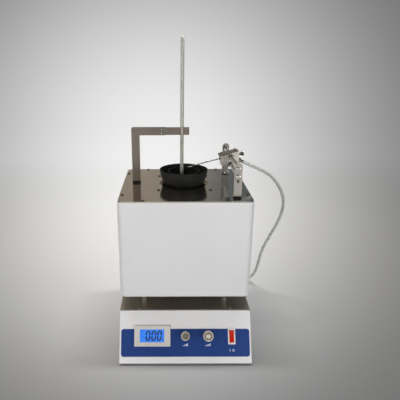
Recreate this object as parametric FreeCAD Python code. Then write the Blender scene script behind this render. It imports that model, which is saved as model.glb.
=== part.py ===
import FreeCAD, Part
import math
import os

# Open-cup flash point tester, in millimetres. X to the right, Y to the back, Z up.
# The origin is on the bench, in the middle of the instrument's footprint.

V = FreeCAD.Vector
UP = V(0, 0, 1)
BACK = V(0, 1, 0)
RIGHT = V(1, 0, 0)

# Fits and clearances
overrun = 5.0
round_off = 0.05
running_gap = 0.05
loose_gap = 0.3
seat_gap = 0.2
clip_gap = 0.06

# Sheet and plate
sheet = 1.5
steel_plate = 2.0
gasket = 1.0

# Feet and console
foot_height = 5.0
foot_radius = 9.0
foot_inset = 24.0
foot_screw_radius = 2.0
foot_recess = 2.0
console_width = 262.0
console_height = 91.0
console_depth = 311.0
panel_lean = 29.0
console_flange = 14.0
plate_screw_inset = 5.5
console_screw_inset = 38.6
screw_radius = 2.0
screw_head_radius = 3.0
screw_head_height = 1.6
screw_length = 6.0
hole_gap = 0.25

# Pillars between console and furnace
pillar_radius = 6.5
pillar_height = 23.0
pillar_inset_x = 47.0
pillar_inset_y = 38.0
stud_radius = 2.5
nut_width = 8.0
small_nut_width = 7.0
nut_room = 1.0
nut_height = 4.0
conduit_radius = 8.0
conduit_wall = 1.0
conduit_inset = 31.0

# Furnace box
furnace_setback = 59.0
furnace_height = 201.0
furnace_corner = 13.0
furnace_edge = 3.2
furnace_flange = 12.0
tray_height = 14.0
top_plate_margin = 1.5
cup_setback = 5.0
well_radius = 51.0
top_screw_inset_x = 48.5
top_screw_inset_y = 42.5

# Heater inside the furnace
liner_brim = 11.0
liner_depth = 90.0
pot_radius = 62.0
pot_well_radius = 47.0
pot_depth = 50.0
coil_wire = 1.6
coil_rings = 5
coil_ribbon = 3.0
coil_height = 34.0
coil_gap = 0.15
lagging_wall = 7.0
lagging_gap = 2.55
heater_screw_margin = 1.4
heater_screw_turn = 46.1

# Crucibles
crucible_wall = 1.2
outer_rim_radius = 51.2
outer_base_radius = 28.0
outer_mid_radius = 43.5
outer_mid_share = 0.45
outer_height = 50.4
crucible_sink = 20.0
inner_rim_radius = 33.2
inner_base_radius = 20.0
inner_mid_radius = 29.5
inner_mid_share = 0.4
inner_height = 46.0

# Thermometer
stem_radius = 3.75
stem_wall = 0.8
bulb_radius = 3.0
bulb_length = 16.0
bulb_gap = 8.0
thermometer_top = 296.0
thermometer_x = -4.1
button_height = 3.6
neck_radius = 2.6
neck_height = 2.0
shoulder_height = 3.4
scale_width = 5.0
scale_thick = 0.7
scale_share = 0.9
capillary_radius = 0.7

# Thermometer bracket and its spring clip
bracket_width = 17.0
bracket_inset = 28.5
arm_top = 120.0
arm_end = -38.0
bracket_foot = 15.0
bracket_corner = 4.0
bend_radius = 3.0
jaw_thick = 0.8
jaw_start = -56.0
jaw_end = 10.7
jaw_height = 15.5
jaw_lip = 1.6
rivet_x = -46.3
rivet_spacing = 6.8
rivet_radius = 1.4
rivet_head = 2.4
rivet_dome = 0.9

# Igniter frame: two posts and two guide rods
post_inset = 30.5
post_width = 15.0
front_post_inset = 16.5
rear_post_inset = 38.5
post_top = 70.0
post_foot = 14.0
washer_radius = 8.5
upper_rod_z = 58.5
lower_rod_z = 43.0
upper_rod_radius = 5.2
lower_rod_radius = 4.0
slot_width = 5.6
slot_bottom = 30.6
rod_screw_radius = 2.4
rod_screw_length = 12.0
rod_head_radius = 5.1
rod_head_height = 3.4

# Igniter carriage
carriage_reach_left = 22.0
carriage_reach_right = 16.0
carriage_depth = 25.0
carriage_bottom = 42.0
carriage_tilt = 15.0
cover_rise_left = 60.8
cover_overhang = 4.0
cover_setback = 3.0
cover_thick = 1.8
cover_lip = 1.5
cover_screw_radius = 1.1
cover_screw_head = 2.1
cover_screw_inset = 3.4
cover_screw_depth = 5.0
bush_wall = 1.2
shoe_wall = 1.8
nozzle_radius = 1.4
nozzle_bore = 0.7
nozzle_tip_x = 8.5
nozzle_tip_z = 33.6
nozzle_port_z = 53.4
nozzle_mid_share = 0.45
nozzle_mid_sag = 0.9
nozzle_seat = 7.0
ferrule_radius = 2.6
ferrule_length = 5.0
needle_z = 61.6
needle_stem_radius = 1.6
needle_seat = 6.0
needle_neck = 2.4
needle_length = 9.0
needle_end_radius = 5.4
needle_end = 1.6

# Hose and its fittings
hose_radius = 3.5
hose_bore = 2.0
hose_first_run = 14.0
barb_hex = 9.0
barb_hex_length = 4.0
carriage_barb_length = 13.0
carriage_barb_drop = 24.0
carriage_barb_z = 45.0
carriage_barb_y = 6.0
fitting_reach = 22.0
fitting_z = 50.0
gas_inlet_x = 45.0
gas_outlet_x = 85.0
fitting_hex = 14.0
fitting_hex_length = 6.0
fitting_radius = 4.0
fitting_tail = 8.0
fitting_tail_radius = 4.5
fitting_bore = 2.0
pipe_radius = 2.5
pipe_floor = 24.0

# Front panel pieces, with distances down the slope from its top edge
label_margin = 3.0
label_height = 53.4
label_drop = 35.7
label_thick = 0.4
label_corner = 5.0
meter_x = -65.7
meter_drop = 48.9
bezel_width = 72.0
bezel_height = 40.7
bezel_thick = 3.4
bezel_rim = 4.0
bezel_step = 1.2
bezel_corner = 1.6
meter_width = 66.0
meter_height = 36.0
meter_depth = 30.0
window_width = 49.0
window_height = 25.0
window_shift = -0.6
window_thick = 1.2
display_thick = 2.0
control_drop = 48.6
voltage_x = 0.0
voltage_radius = 8.8
voltage_height = 13.0
gas_x = 45.2
gas_radius = 10.4
gas_height = 14.0
knob_edge = 0.8
dimple_radius_share = 0.76
dimple_depth = 2.2
boss_radius_share = 0.46
knob_lift = 1.4
shaft_radius = 3.0
shaft_seat = 8.0
bush_radius = 4.5
bush_length = 5.0
panel_nut_width = 11.0
panel_nut_height = 1.0
pot_body_radius = 8.0
pot_body_depth = 12.0
valve_body_radius = 10.0
valve_body_depth = 40.0
switch_x = 92.5
switch_drop = 50.0
switch_width = 14.4
switch_height = 31.0
switch_thick = 2.0
switch_corner = 1.6
switch_body_width = 12.6
switch_body_height = 28.4
switch_body_depth = 20.0
rocker_width = 8.8
rocker_height = 24.0
rocker_rise = 1.2
rocker_throw = 10.0
rocker_well = 7.0
rocker_pin_radius = 1.2

# Rear panel and electronics
inlet_x = -80.0
inlet_width = 27.5
inlet_height = 20.0
inlet_flange_width = 50.0
inlet_flange_height = 24.0
inlet_flange = 3.0
inlet_depth = 22.0
inlet_well = 15.0
inlet_wall = 2.5
contact_width = 2.0
contact_thick = 4.0
contact_length = 11.0
contact_pitch = 7.0
contact_rise = 2.0
ear_pitch = 40.0
fuse_x = -28.0
fuse_radius = 6.5
fuse_flange_radius = 8.5
fuse_flange = 2.5
fuse_depth = 32.0
fuse_cap_length = 8.0
board_width = 110.0
board_depth = 84.0
board_thick = 1.6
board_side_gap = 21.0
board_y = 20.0
standoff_height = 7.0
standoff_radius = 3.0
board_inset = 5.0
transformer_width = 36.0
transformer_depth = 30.0
transformer_height = 28.0
relay_width = 19.0
relay_depth = 15.0
relay_height = 15.0
component_gap = 6.0
sink_width = 60.0
sink_depth = 40.0
sink_height = 30.0
sink_base = 4.0
fin_thick = 2.0
fin_count = 8
sink_side_gap = 41.0
sink_y = -62.0

# Shares of other sizes
head_round_share = 0.45
drive_width_share = 0.32
drive_reach_share = 0.6
drive_floor_share = 0.55
arc_share = 0.45
foot_taper_share = 0.85
foot_recess_share = 0.45
foot_head_height_share = 0.7
foot_head_share = 0.4
foot_hole_share = 0.6
base_lean_share = 0.6
bulb_tip_share = 0.6
button_low_share = 0.3
button_high_share = 0.7
cover_thread_share = 0.8
cover_head_share = 0.8
nose_start_share = 0.9
nose_share = 0.8
groove_start_share = 0.15
groove_pitch_share = 0.3
groove_width_share = 0.08
groove_floor_share = 0.85
bezel_bevel_share = 0.3
boss_top_share = 0.33
bush_seen_share = 0.6
ridge_share = 0.35
heel_share = 0.45
small_screw_share = 0.75
small_head_share = 0.8
fuse_cap_share = 0.9
pipe_bend_shares = (0.3, 0.62)
outlet_bend_shares = (0.22, 0.6)

# Levels and places that follow from the sizes above
console_bottom = foot_height
console_top = console_bottom + console_height
furnace_width = console_width
furnace_depth = console_depth - furnace_setback
top_plate_width = furnace_width - 2 * top_plate_margin
top_plate_depth = furnace_depth - 2 * top_plate_margin
top_plate_corner = furnace_corner - top_plate_margin
bracket_x = bracket_inset - top_plate_width / 2
post_x = top_plate_width / 2 - post_inset
front_post_y = front_post_inset - top_plate_depth / 2
rear_post_y = top_plate_depth / 2 - rear_post_inset
carriage_left = post_x - carriage_reach_left
carriage_right = post_x + carriage_reach_right
label_width = console_width - 2 * label_margin
furnace_bottom = console_top + pillar_height
furnace_top = furnace_bottom + furnace_height
plate_top = furnace_top + steel_plate
console_front = -(console_depth + fitting_reach) / 2
console_rear = console_front + console_depth
furnace_y = console_rear - furnace_depth / 2
conduit_y = console_rear - conduit_inset
cup_y = furnace_y + cup_setback
board_x = board_side_gap + board_width / 2 - console_width / 2
sink_x = sink_side_gap + sink_width / 2 - console_width / 2
lean = math.radians(panel_lean)
slope_height = console_height - steel_plate
panel_top_y = console_front + slope_height * math.tan(lean)
panel_top_z = console_top - steel_plate
tilt = math.radians(carriage_tilt)
coil_pitch = (coil_height - coil_ribbon) / (coil_rings - 1)
lagging_inner = pot_radius + coil_gap + coil_wire + lagging_gap
liner_radius = lagging_inner + lagging_wall + seat_gap + sheet
liner_flange = liner_radius + liner_brim
heater_screw_circle = liner_radius + heater_screw_margin
heater_screw_x = heater_screw_circle * math.cos(math.radians(heater_screw_turn))
heater_screw_y = heater_screw_circle * math.sin(math.radians(heater_screw_turn))
crucible_z = plate_top - crucible_sink
inner_z = crucible_z + crucible_wall
bulb_z = inner_z + crucible_wall + bulb_gap


def solid_box(low, high):
    """A box between two corners."""
    size = high.sub(low)
    return Part.makeBox(size.x, size.y, size.z, low)


def rod(radius, length, base, direction=UP):
    """A round rod from its base along a direction."""
    return Part.makeCylinder(radius, length, base, direction)


def plate(width, depth, thick, corner, centre):
    """A flat rectangle with round corners, its lower face centred on a place."""
    low = centre.sub(V(width / 2, depth / 2, 0))
    body = Part.makeBox(width, depth, thick, low)
    uprights = [e for e in body.Edges if abs(e.tangentAt(e.FirstParameter).z) > 0.9]
    return body.makeFillet(corner, uprights)


def prism(points, direction):
    """A flat outline pushed along a direction."""
    return Part.Face(Part.makePolygon(points + points[:1])).extrude(direction)


def hexagon(width, height, base, direction=UP):
    """A hexagonal nut blank, width across its flats."""
    corner = width / 2 / math.cos(math.radians(30))
    ring = [V(corner * math.cos(math.radians(60 * k)), corner * math.sin(math.radians(60 * k)), 0)
            for k in range(6)]
    body = prism(ring, V(0, 0, height))
    body.Placement = FreeCAD.Placement(base, FreeCAD.Rotation(UP, direction))
    return body


def turned(points, centre):
    """A solid turned about an upright axis; each point is (radius, height), or three of them for an arc."""
    edges = []
    last = None
    first = None
    for item in points:
        if len(item) == 3:
            middle, end = (V(item[0][0], 0, item[0][1]), V(item[1][0], 0, item[1][1]))
            edges.append(Part.Arc(last, middle, end).toShape())
        else:
            end = V(item[0], 0, item[1])
            if last is not None:
                edges.append(Part.LineSegment(last, end).toShape())
        first = end if first is None else first
        last = end
    edges.append(Part.LineSegment(last, first).toShape())
    face = Part.Face(Part.Wire(edges))
    body = face.revolve(V(0, 0, 0), UP, 360)
    body.translate(centre)
    return body


def pan_screw(base, direction, shank, length, head, head_height):
    """A pan-head screw whose head sits on base and whose shank goes the other way from direction."""
    top = rod(head, head_height, base, direction)
    rounds = [e for e in top.Edges if len(e.Vertexes) == 1]
    rim = [e for e in rounds if e.Vertexes[0].Point.sub(base).dot(direction) > head_height / 2]
    top = top.makeFillet(head_height * head_round_share, rim)
    drive = head * drive_width_share
    slot = solid_box(V(-head * drive_reach_share, -drive / 2, 0),
                     V(head * drive_reach_share, drive / 2, head_height))
    cross = slot.fuse(slot.rotated(V(0, 0, 0), UP, 90))
    cross.Placement = FreeCAD.Placement(base.add(direction * (head_height * drive_floor_share)),
                                        FreeCAD.Rotation(UP, direction))
    return top.cut(cross).fuse(rod(shank, length, base, direction * -1)).removeSplitter()


def route_of(points):
    """The tangent-arc path through hand-chosen points, the radius of each arc, and its length."""
    count = len(points)
    runs = [points[i + 1].sub(points[i]).Length for i in range(count - 1)]
    edges, radii, here = [], [], points[0]
    for i in range(1, count - 1):
        before = points[i].sub(points[i - 1]).normalize()
        after = points[i + 1].sub(points[i]).normalize()
        turn = before.getAngle(after)
        trim = arc_share * min(runs[i - 1], runs[i])
        radii.append(trim / math.tan(turn / 2))
        start, end = points[i].sub(before * trim), points[i].add(after * trim)
        inner = after.sub(before).normalize()
        middle = points[i].add(inner * (radii[-1] / math.cos(turn / 2) - radii[-1]))
        edges.append(Part.LineSegment(here, start).toShape())
        edges.append(Part.Arc(start, middle, end).toShape())
        here = end
    edges.append(Part.LineSegment(here, points[-1]).toShape())
    return edges, radii, sum(e.Length for e in edges)


def tube_along(points, radius, bore, name):
    """A hose along a route of runs and tangent arcs; it prints its radii and compares its volume."""
    edges, radii, length = route_of(points)
    start = points[1].sub(points[0]).normalize()

    def swept(r):
        ring = Part.Wire(Part.makeCircle(r, points[0], start))
        return Part.Wire(edges).makePipeShell([ring], True, False)

    body = swept(radius)
    if bore:
        body = body.cut(swept(bore))
    due = math.pi * (radius ** 2 - bore ** 2) * length
    print(name, "length", round(length, 1), "radii", [round(r) for r in radii], "volume share",
          round(body.Volume / due, 4))
    return body


def to_panel(shape, x, drop, lift=0.0):
    """Moves a shape drawn flat, x right, y up the slope and z outwards, onto the sloping front."""
    turn = FreeCAD.Rotation(RIGHT, 90 - panel_lean)
    outward = V(0, -math.cos(lean), math.sin(lean))
    down = V(0, -math.sin(lean), -math.cos(lean))
    place = V(x, panel_top_y, panel_top_z).add(down * drop).add(outward * lift)
    shape = shape.copy()
    shape.Placement = FreeCAD.Placement(place, turn).multiply(shape.Placement)
    return shape


def to_rear(shape, x, z):
    """Moves a shape drawn flat, x right seen from behind and z outwards, onto the rear wall."""
    shape = shape.copy()
    turn = FreeCAD.Rotation(V(-1, 0, 0), UP, BACK)
    shape.Placement = FreeCAD.Placement(V(x, console_rear, z), turn).multiply(shape.Placement)
    return shape


def corners_at(x, y, centre):
    """The four places that lie x and y either side of a centre."""
    return [centre.add(V(i * x, j * y, 0)) for i in (-1, 1) for j in (-1, 1)]


def holes(shape, places, radius, direction=UP):
    """Cuts a hole through a shape at each place."""
    for place in places:
        shape = shape.cut(rod(radius, 4 * overrun, place.sub(direction * (2 * overrun)), direction))
    return shape


def console_outline(inset, low, high):
    """The console's side outline, set in by a wall, between two levels."""
    def front(z):
        return console_front + (z - console_bottom) * math.tan(lean) + inset / math.cos(lean)
    rear = console_rear - inset
    x = console_width / 2 - inset
    points = [V(-x, front(low), low), V(-x, front(high), high), V(-x, rear, high), V(-x, rear, low)]
    return prism(points, V(2 * x, 0, 0))


console_centre_y = (panel_top_y + console_rear) / 2
console_plate_depth = console_rear - panel_top_y
console_screws = corners_at(console_width / 2 - console_screw_inset,
                            console_plate_depth / 2 - plate_screw_inset,
                            V(0, console_centre_y, panel_top_z))
pillars = corners_at(furnace_width / 2 - pillar_inset_x, furnace_depth / 2 - pillar_inset_y,
                     V(0, furnace_y, console_top))
feet = [V(i * (console_width / 2 - foot_inset), y, console_bottom)
        for i in (-1, 1) for y in (console_front + foot_inset, console_rear - foot_inset)]
furnace_plate_centre = V(0, furnace_y, furnace_top)
top_screws = (corners_at(top_plate_width / 2 - top_screw_inset_x, top_plate_depth / 2 - plate_screw_inset,
                         furnace_plate_centre)
              + corners_at(top_plate_width / 2 - plate_screw_inset, top_plate_depth / 2 - top_screw_inset_y,
                           furnace_plate_centre))
heater_screws = corners_at(heater_screw_x, heater_screw_y, V(0, cup_y, furnace_top))


def meter_hole(extra):
    return plate(meter_width + 2 * extra, meter_height + 2 * extra, 4 * overrun, bezel_corner,
                 V(0, 0, -2 * overrun))


def switch_hole(extra):
    return plate(switch_body_width + 2 * extra, switch_body_height + 2 * extra, 4 * overrun, switch_corner,
                 V(0, 0, -2 * overrun))


def panel_holes(shape, bush_hole):
    """Cuts the front panel's openings for the meter, the two controls and the switch."""
    shape = shape.cut(to_panel(meter_hole(seat_gap), meter_x, meter_drop))
    shape = shape.cut(to_panel(switch_hole(seat_gap), switch_x, switch_drop))
    for x in (voltage_x, gas_x):
        hole = rod(bush_hole, 4 * overrun, V(0, 0, -2 * overrun))
        shape = shape.cut(to_panel(hole, x, control_drop))
    return shape


def base_housing():
    body = console_outline(0, console_bottom, panel_top_z)
    body = body.cut(console_outline(sheet, console_bottom - overrun, panel_top_z - sheet))
    mouth = solid_box(V(-console_width / 2 + console_flange, panel_top_y + console_flange,
                        panel_top_z - 2 * sheet),
                      V(console_width / 2 - console_flange, console_rear - console_flange,
                        panel_top_z + overrun))
    body = holes(body.cut(mouth), console_screws, screw_radius + hole_gap)
    body = panel_holes(body, bush_radius + hole_gap)
    inlet = plate(inlet_width + 2 * seat_gap, inlet_height + 2 * seat_gap, 4 * overrun, bezel_corner,
                  V(0, 0, -2 * overrun))
    body = body.cut(to_rear(inlet, inlet_x, fitting_z))
    body = body.cut(to_rear(rod(fuse_radius + hole_gap, 4 * overrun, V(0, 0, -2 * overrun)), fuse_x,
                            fitting_z))
    for x in (gas_inlet_x, gas_outlet_x):
        body = body.cut(to_rear(rod(fitting_tail_radius + hole_gap, 4 * overrun, V(0, 0, -2 * overrun)), x,
                                fitting_z))
    return body


def base_bottom_cover():
    inset = sheet + seat_gap
    body = console_outline(inset, console_bottom, console_bottom + tray_height)
    body = body.cut(console_outline(inset + sheet, console_bottom + sheet,
                                    console_bottom + tray_height + overrun))
    return holes(body, feet, foot_screw_radius + hole_gap)


def base_feet():
    bodies = []
    for place in feet:
        base = place.sub(V(0, 0, foot_height))
        foot = Part.makeCone(foot_radius * foot_taper_share, foot_radius, foot_height, base, UP)
        foot = foot.cut(rod(foot_radius * foot_recess_share, foot_recess, base))
        bodies.append(foot.cut(rod(foot_screw_radius + hole_gap, foot_height + overrun, base)))
    return bodies


def foot_screws():
    bodies = []
    for place in feet:
        seat = place.sub(V(0, 0, foot_height - foot_recess))
        length = foot_height - foot_recess + sheet + nut_height
        head_height = foot_recess * foot_head_height_share
        head = rod(foot_radius * foot_head_share, head_height, seat.sub(V(0, 0, head_height)))
        screw = rod(foot_screw_radius, length, seat).fuse(head)
        nut = hexagon(nut_width, nut_height, place.add(V(0, 0, sheet)))
        bodies.append(screw.fuse(nut).removeSplitter())
    return bodies


def base_top_plate():
    body = plate(console_width, console_plate_depth, steel_plate, sheet,
                 V(0, console_centre_y, panel_top_z))
    body = holes(body, console_screws, screw_radius + hole_gap)
    body = holes(body, pillars, stud_radius + hole_gap)
    return holes(body, [V(0, conduit_y, console_top)], conduit_radius - running_gap)


def screw_set(places, lift, length=screw_length):
    return [pan_screw(p.add(V(0, 0, lift)), UP, screw_radius, length, screw_head_radius, screw_head_height)
            for p in places]


def support_pillars():
    bodies = []
    for place in pillars:
        reach = 2 * sheet + nut_height
        stud = rod(stud_radius, pillar_height + 2 * reach, place.sub(V(0, 0, reach)))
        bodies.append(rod(pillar_radius, pillar_height, place).fuse(stud).removeSplitter())
    return bodies


def pillar_nuts():
    bodies = []
    for place in pillars:
        for base in (place.sub(V(0, 0, steel_plate + nut_height)),
                     place.add(V(0, 0, pillar_height + 2 * sheet))):
            bodies.append(hexagon(nut_width, nut_height, base).cut(rod(stud_radius, nut_height, base)))
    return bodies


def lead_conduit():
    base = V(0, conduit_y, console_top)
    collar = rod(conduit_radius, pillar_height, base)
    spigot = rod(conduit_radius - 2 * conduit_wall, pillar_height + 4 * overrun,
                 base.sub(V(0, 0, 2 * overrun)))
    bore = rod(conduit_radius - 3 * conduit_wall, pillar_height + 6 * overrun,
               base.sub(V(0, 0, 3 * overrun)))
    return collar.fuse(spigot).cut(bore).removeSplitter()


def soft_box(width, depth, height, corner, edge, centre):
    """A box with round uprights whose upper and lower edges are rounded too, as bent sheet is."""
    body = plate(width, depth, height, corner, centre)
    return body.makeFillet(edge, [e for e in body.Edges if e.BoundBox.ZLength < running_gap])


def furnace_housing():
    """The white box: four sides with a flange turned in at the top and at the bottom."""
    centre = V(0, furnace_y, furnace_bottom)
    body = soft_box(furnace_width, furnace_depth, furnace_height, furnace_corner, furnace_edge, centre)
    room = soft_box(furnace_width - 2 * sheet, furnace_depth - 2 * sheet, furnace_height - 2 * sheet,
                    furnace_corner - sheet, furnace_edge - sheet, centre.add(V(0, 0, sheet)))
    mouth = plate(furnace_width - 2 * furnace_flange, furnace_depth - 2 * furnace_flange,
                  furnace_height + 2 * overrun,
                  furnace_corner, centre.sub(V(0, 0, overrun)))
    return holes(body.cut(room).cut(mouth), top_screws, screw_radius + hole_gap)


def furnace_bottom_plate():
    """The bottom: a pan that fills the mouth of the lower flange, with a brim that lies on the flange."""
    centre = V(0, furnace_y, furnace_bottom)
    inset = furnace_flange + seat_gap
    pan = plate(furnace_width - 2 * inset, furnace_depth - 2 * inset, 2 * sheet, furnace_corner, centre)
    edge = furnace_edge + seat_gap
    brim = plate(furnace_width - 2 * edge, furnace_depth - 2 * edge, sheet, furnace_corner,
                 centre.add(V(0, 0, sheet)))
    body = holes(pan.fuse(brim).removeSplitter(), [p.add(V(0, 0, pillar_height)) for p in pillars],
                 stud_radius + hole_gap)
    return holes(body, [V(0, conduit_y, furnace_bottom)], conduit_radius - running_gap)


def furnace_top_plate():
    body = plate(top_plate_width, top_plate_depth, steel_plate, top_plate_corner, furnace_plate_centre)
    body = holes(body, [V(0, cup_y, furnace_top)], well_radius)
    body = holes(body, top_screws + heater_screws, screw_radius + hole_gap)
    return holes(body, [p for p, _ in plate_feet()], screw_radius + hole_gap)


def plate_feet():
    """Where a screw goes down through a foot into the top plate, and the thickness under its head."""
    rise = gasket + steel_plate
    return [(V(bracket_x, cup_y + bracket_foot * foot_hole_share, furnace_top), rise),
            (V(post_x, furnace_y + front_post_y + post_foot * foot_hole_share, furnace_top), rise),
            (V(post_x, furnace_y + rear_post_y - post_foot * foot_hole_share, furnace_top), rise)]


def foot_plate_screws():
    bodies = []
    for place, rise in plate_feet():
        seat = place.add(V(0, 0, steel_plate + rise))
        bodies.append(pan_screw(seat, UP, screw_radius, rise + steel_plate + nut_height, screw_head_radius,
                                screw_head_height))
    return bodies


def foot_plate_nuts():
    bodies = []
    for place, _ in plate_feet():
        base = place.sub(V(0, 0, nut_height))
        bodies.append(hexagon(small_nut_width, nut_height, base).cut(rod(screw_radius, nut_height, base)))
    return bodies


def furnace_liner():
    """The tray that holds the heater: its brim hangs under the top plate, stays inside the housing's
    mouth and is notched where a foot screw's nut comes over it."""
    points = [(0, -liner_depth), (liner_radius, -liner_depth), (liner_radius, -sheet),
              (liner_flange, -sheet), (liner_flange, 0), (liner_radius - sheet, 0),
              (liner_radius - sheet, sheet - liner_depth), (0, sheet - liner_depth)]
    seat = V(0, furnace_y, furnace_top - sheet)
    inset = furnace_flange + hole_gap
    mouth = plate(furnace_width - 2 * inset, furnace_depth - 2 * inset, sheet, furnace_corner, seat)
    flange = plate(furnace_width, furnace_depth, sheet, furnace_corner, seat).cut(mouth)
    body = turned(points, V(0, cup_y, furnace_top)).cut(flange)
    body = holes(body, heater_screws, screw_radius + hole_gap)
    return holes(body, [p for p, _ in plate_feet()], small_nut_width / 2 + nut_room)


def heater_pot():
    depth = pot_depth
    floor = crucible_z - furnace_top
    points = [(0, -depth), (pot_radius, -depth), (pot_radius, -sheet), (pot_well_radius, -sheet),
              (pot_well_radius, floor), (0, floor)]
    return turned(points, V(0, cup_y, furnace_top))


def heater_coil():
    """Rings of resistance ribbon round the pot, joined by one upright strip."""
    radius = pot_radius + coil_gap
    base = V(0, cup_y, furnace_top - pot_depth + (pot_depth - coil_height) / 2)
    strip = base.add(V(radius, 0, 0))
    half = coil_ribbon / 2
    body = solid_box(strip.sub(V(0, half, 0)), strip.add(V(coil_wire, half, coil_height)))
    for k in range(coil_rings):
        low = base.add(V(0, 0, k * coil_pitch))
        body = body.fuse(rod(radius + coil_wire, coil_ribbon, low).cut(rod(radius, coil_ribbon, low)))
    return body.removeSplitter()


def heater_lagging():
    outer = liner_radius - sheet - seat_gap
    points = [(0, sheet - liner_depth), (outer, sheet - liner_depth), (outer, -2 * sheet),
              (lagging_inner, -2 * sheet), (lagging_inner, -pot_depth), (0, -pot_depth)]
    return turned(points, V(0, cup_y, furnace_top))


def bowl(base_radius, mid_radius, mid_share, rim_radius, height, base_z):
    """A thin round-sided crucible with a flat bottom, open at the top."""
    w = crucible_wall
    mid = mid_share * height
    rise = height - w
    points = [(0, 0), (base_radius, 0), ((mid_radius, mid), (rim_radius, height), 0),
              (rim_radius - w, height),
              ((mid_radius - w, w + mid_share * rise), (base_radius - w * base_lean_share, w), 0), (0, w)]
    return turned(points, V(0, cup_y, base_z))


def outer_crucible():
    return bowl(outer_base_radius, outer_mid_radius, outer_mid_share, outer_rim_radius, outer_height,
                crucible_z)


def inner_crucible():
    return bowl(inner_base_radius, inner_mid_radius, inner_mid_share, inner_rim_radius, inner_height,
                inner_z)


def stem_top():
    return plate_top + thermometer_top - button_height - neck_height


def thermometer_tube():
    length = stem_top() - bulb_z
    bore = stem_radius - stem_wall
    neck_z = length
    points = [(0, 0), (bulb_radius * bulb_tip_share, 0), (bulb_radius, bulb_radius * bulb_tip_share),
              (bulb_radius, bulb_length),
              (stem_radius, bulb_length + stem_radius), (stem_radius, neck_z - shoulder_height),
              (neck_radius, neck_z),
              (neck_radius - stem_wall, neck_z), (bore, neck_z - shoulder_height - stem_wall),
              (bore, bulb_length + stem_radius + stem_wall), (0, bulb_length + stem_radius + stem_wall)]
    return turned(points, V(thermometer_x, cup_y, bulb_z))


def thermometer_cap():
    points = [(0, 0), (neck_radius, 0), (neck_radius, neck_height),
              (stem_radius, neck_height + button_height * button_low_share),
              (stem_radius, neck_height + button_height * button_high_share),
              (neck_radius, neck_height + button_height),
              (0, neck_height + button_height)]
    return turned(points, V(thermometer_x, cup_y, stem_top()))


def scale_floor():
    return bulb_z + bulb_length + stem_radius + stem_wall


def thermometer_scale():
    length = (stem_top() - shoulder_height - scale_floor()) * scale_share
    low = V(thermometer_x - scale_width / 2, cup_y + capillary_radius, scale_floor())
    return solid_box(low, low.add(V(scale_width, scale_thick, length)))


def thermometer_capillary():
    length = (stem_top() - shoulder_height - scale_floor()) * scale_share
    return rod(capillary_radius, length, V(thermometer_x, cup_y, scale_floor()))


def sheet_bend(width, up_length, foot_length, thick, inner, centre, backward):
    """An upright strip with a foot: its outer face is at centre.y, and the foot runs backward (1) or
    forward (-1)."""
    b = backward
    r = inner
    outer = inner + thick
    k = math.sqrt(0.5)
    x, y, z = centre.x - width / 2, centre.y, centre.z

    def at(dy, dz):
        return V(x, y + b * dy, z + dz)
    edges = [Part.LineSegment(at(0, up_length), at(0, outer)).toShape(),
             Part.Arc(at(0, outer), at(outer - outer * k, outer - outer * k), at(outer, 0)).toShape(),
             Part.LineSegment(at(outer, 0), at(foot_length, 0)).toShape(),
             Part.LineSegment(at(foot_length, 0), at(foot_length, thick)).toShape(),
             Part.LineSegment(at(foot_length, thick), at(outer, thick)).toShape(),
             Part.Arc(at(outer, thick), at(outer - r * k, outer - r * k), at(thick, outer)).toShape(),
             Part.LineSegment(at(thick, outer), at(thick, up_length)).toShape(),
             Part.LineSegment(at(thick, up_length), at(0, up_length)).toShape()]
    return Part.Face(Part.Wire(edges)).extrude(V(width, 0, 0))


def thermometer_bracket():
    front = cup_y - steel_plate / 2
    base_z = plate_top + gasket
    foot = V(bracket_x, front, base_z)
    post = sheet_bend(bracket_width, plate_top + arm_top - base_z, bracket_foot, steel_plate, bend_radius,
                      foot, 1)
    arm_low = V(bracket_x - bracket_width / 2, front, plate_top + arm_top - bracket_width)
    arm = solid_box(arm_low, V(arm_end, front + steel_plate, plate_top + arm_top))
    body = post.fuse(arm).removeSplitter()
    corner = [e for e in body.Edges if len(e.Vertexes) == 2
              and all(abs(v.X - arm_low.x) < round_off and abs(v.Z - plate_top - arm_top) < round_off
                      for v in e.Vertexes)]
    body = body.makeFillet(bracket_corner, corner)
    body = holes(body, [plate_feet()[0][0].add(V(0, 0, 2 * overrun))], screw_radius + hole_gap)
    return holes(body, rivet_places(), rivet_radius + running_gap, BACK)


def rivet_places():
    middle = plate_top + arm_top - bracket_width / 2
    return [V(rivet_x, cup_y, middle + side * rivet_spacing / 2) for side in (-1, 1)]


def bracket_gasket():
    grow = 0.8
    depth = bracket_foot + grow
    centre = V(bracket_x, cup_y - steel_plate / 2 + bracket_foot / 2, plate_top)
    body = plate(bracket_width + grow, depth, gasket, grow, centre)
    return holes(body, [plate_feet()[0][0]], screw_radius + hole_gap)


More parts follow.
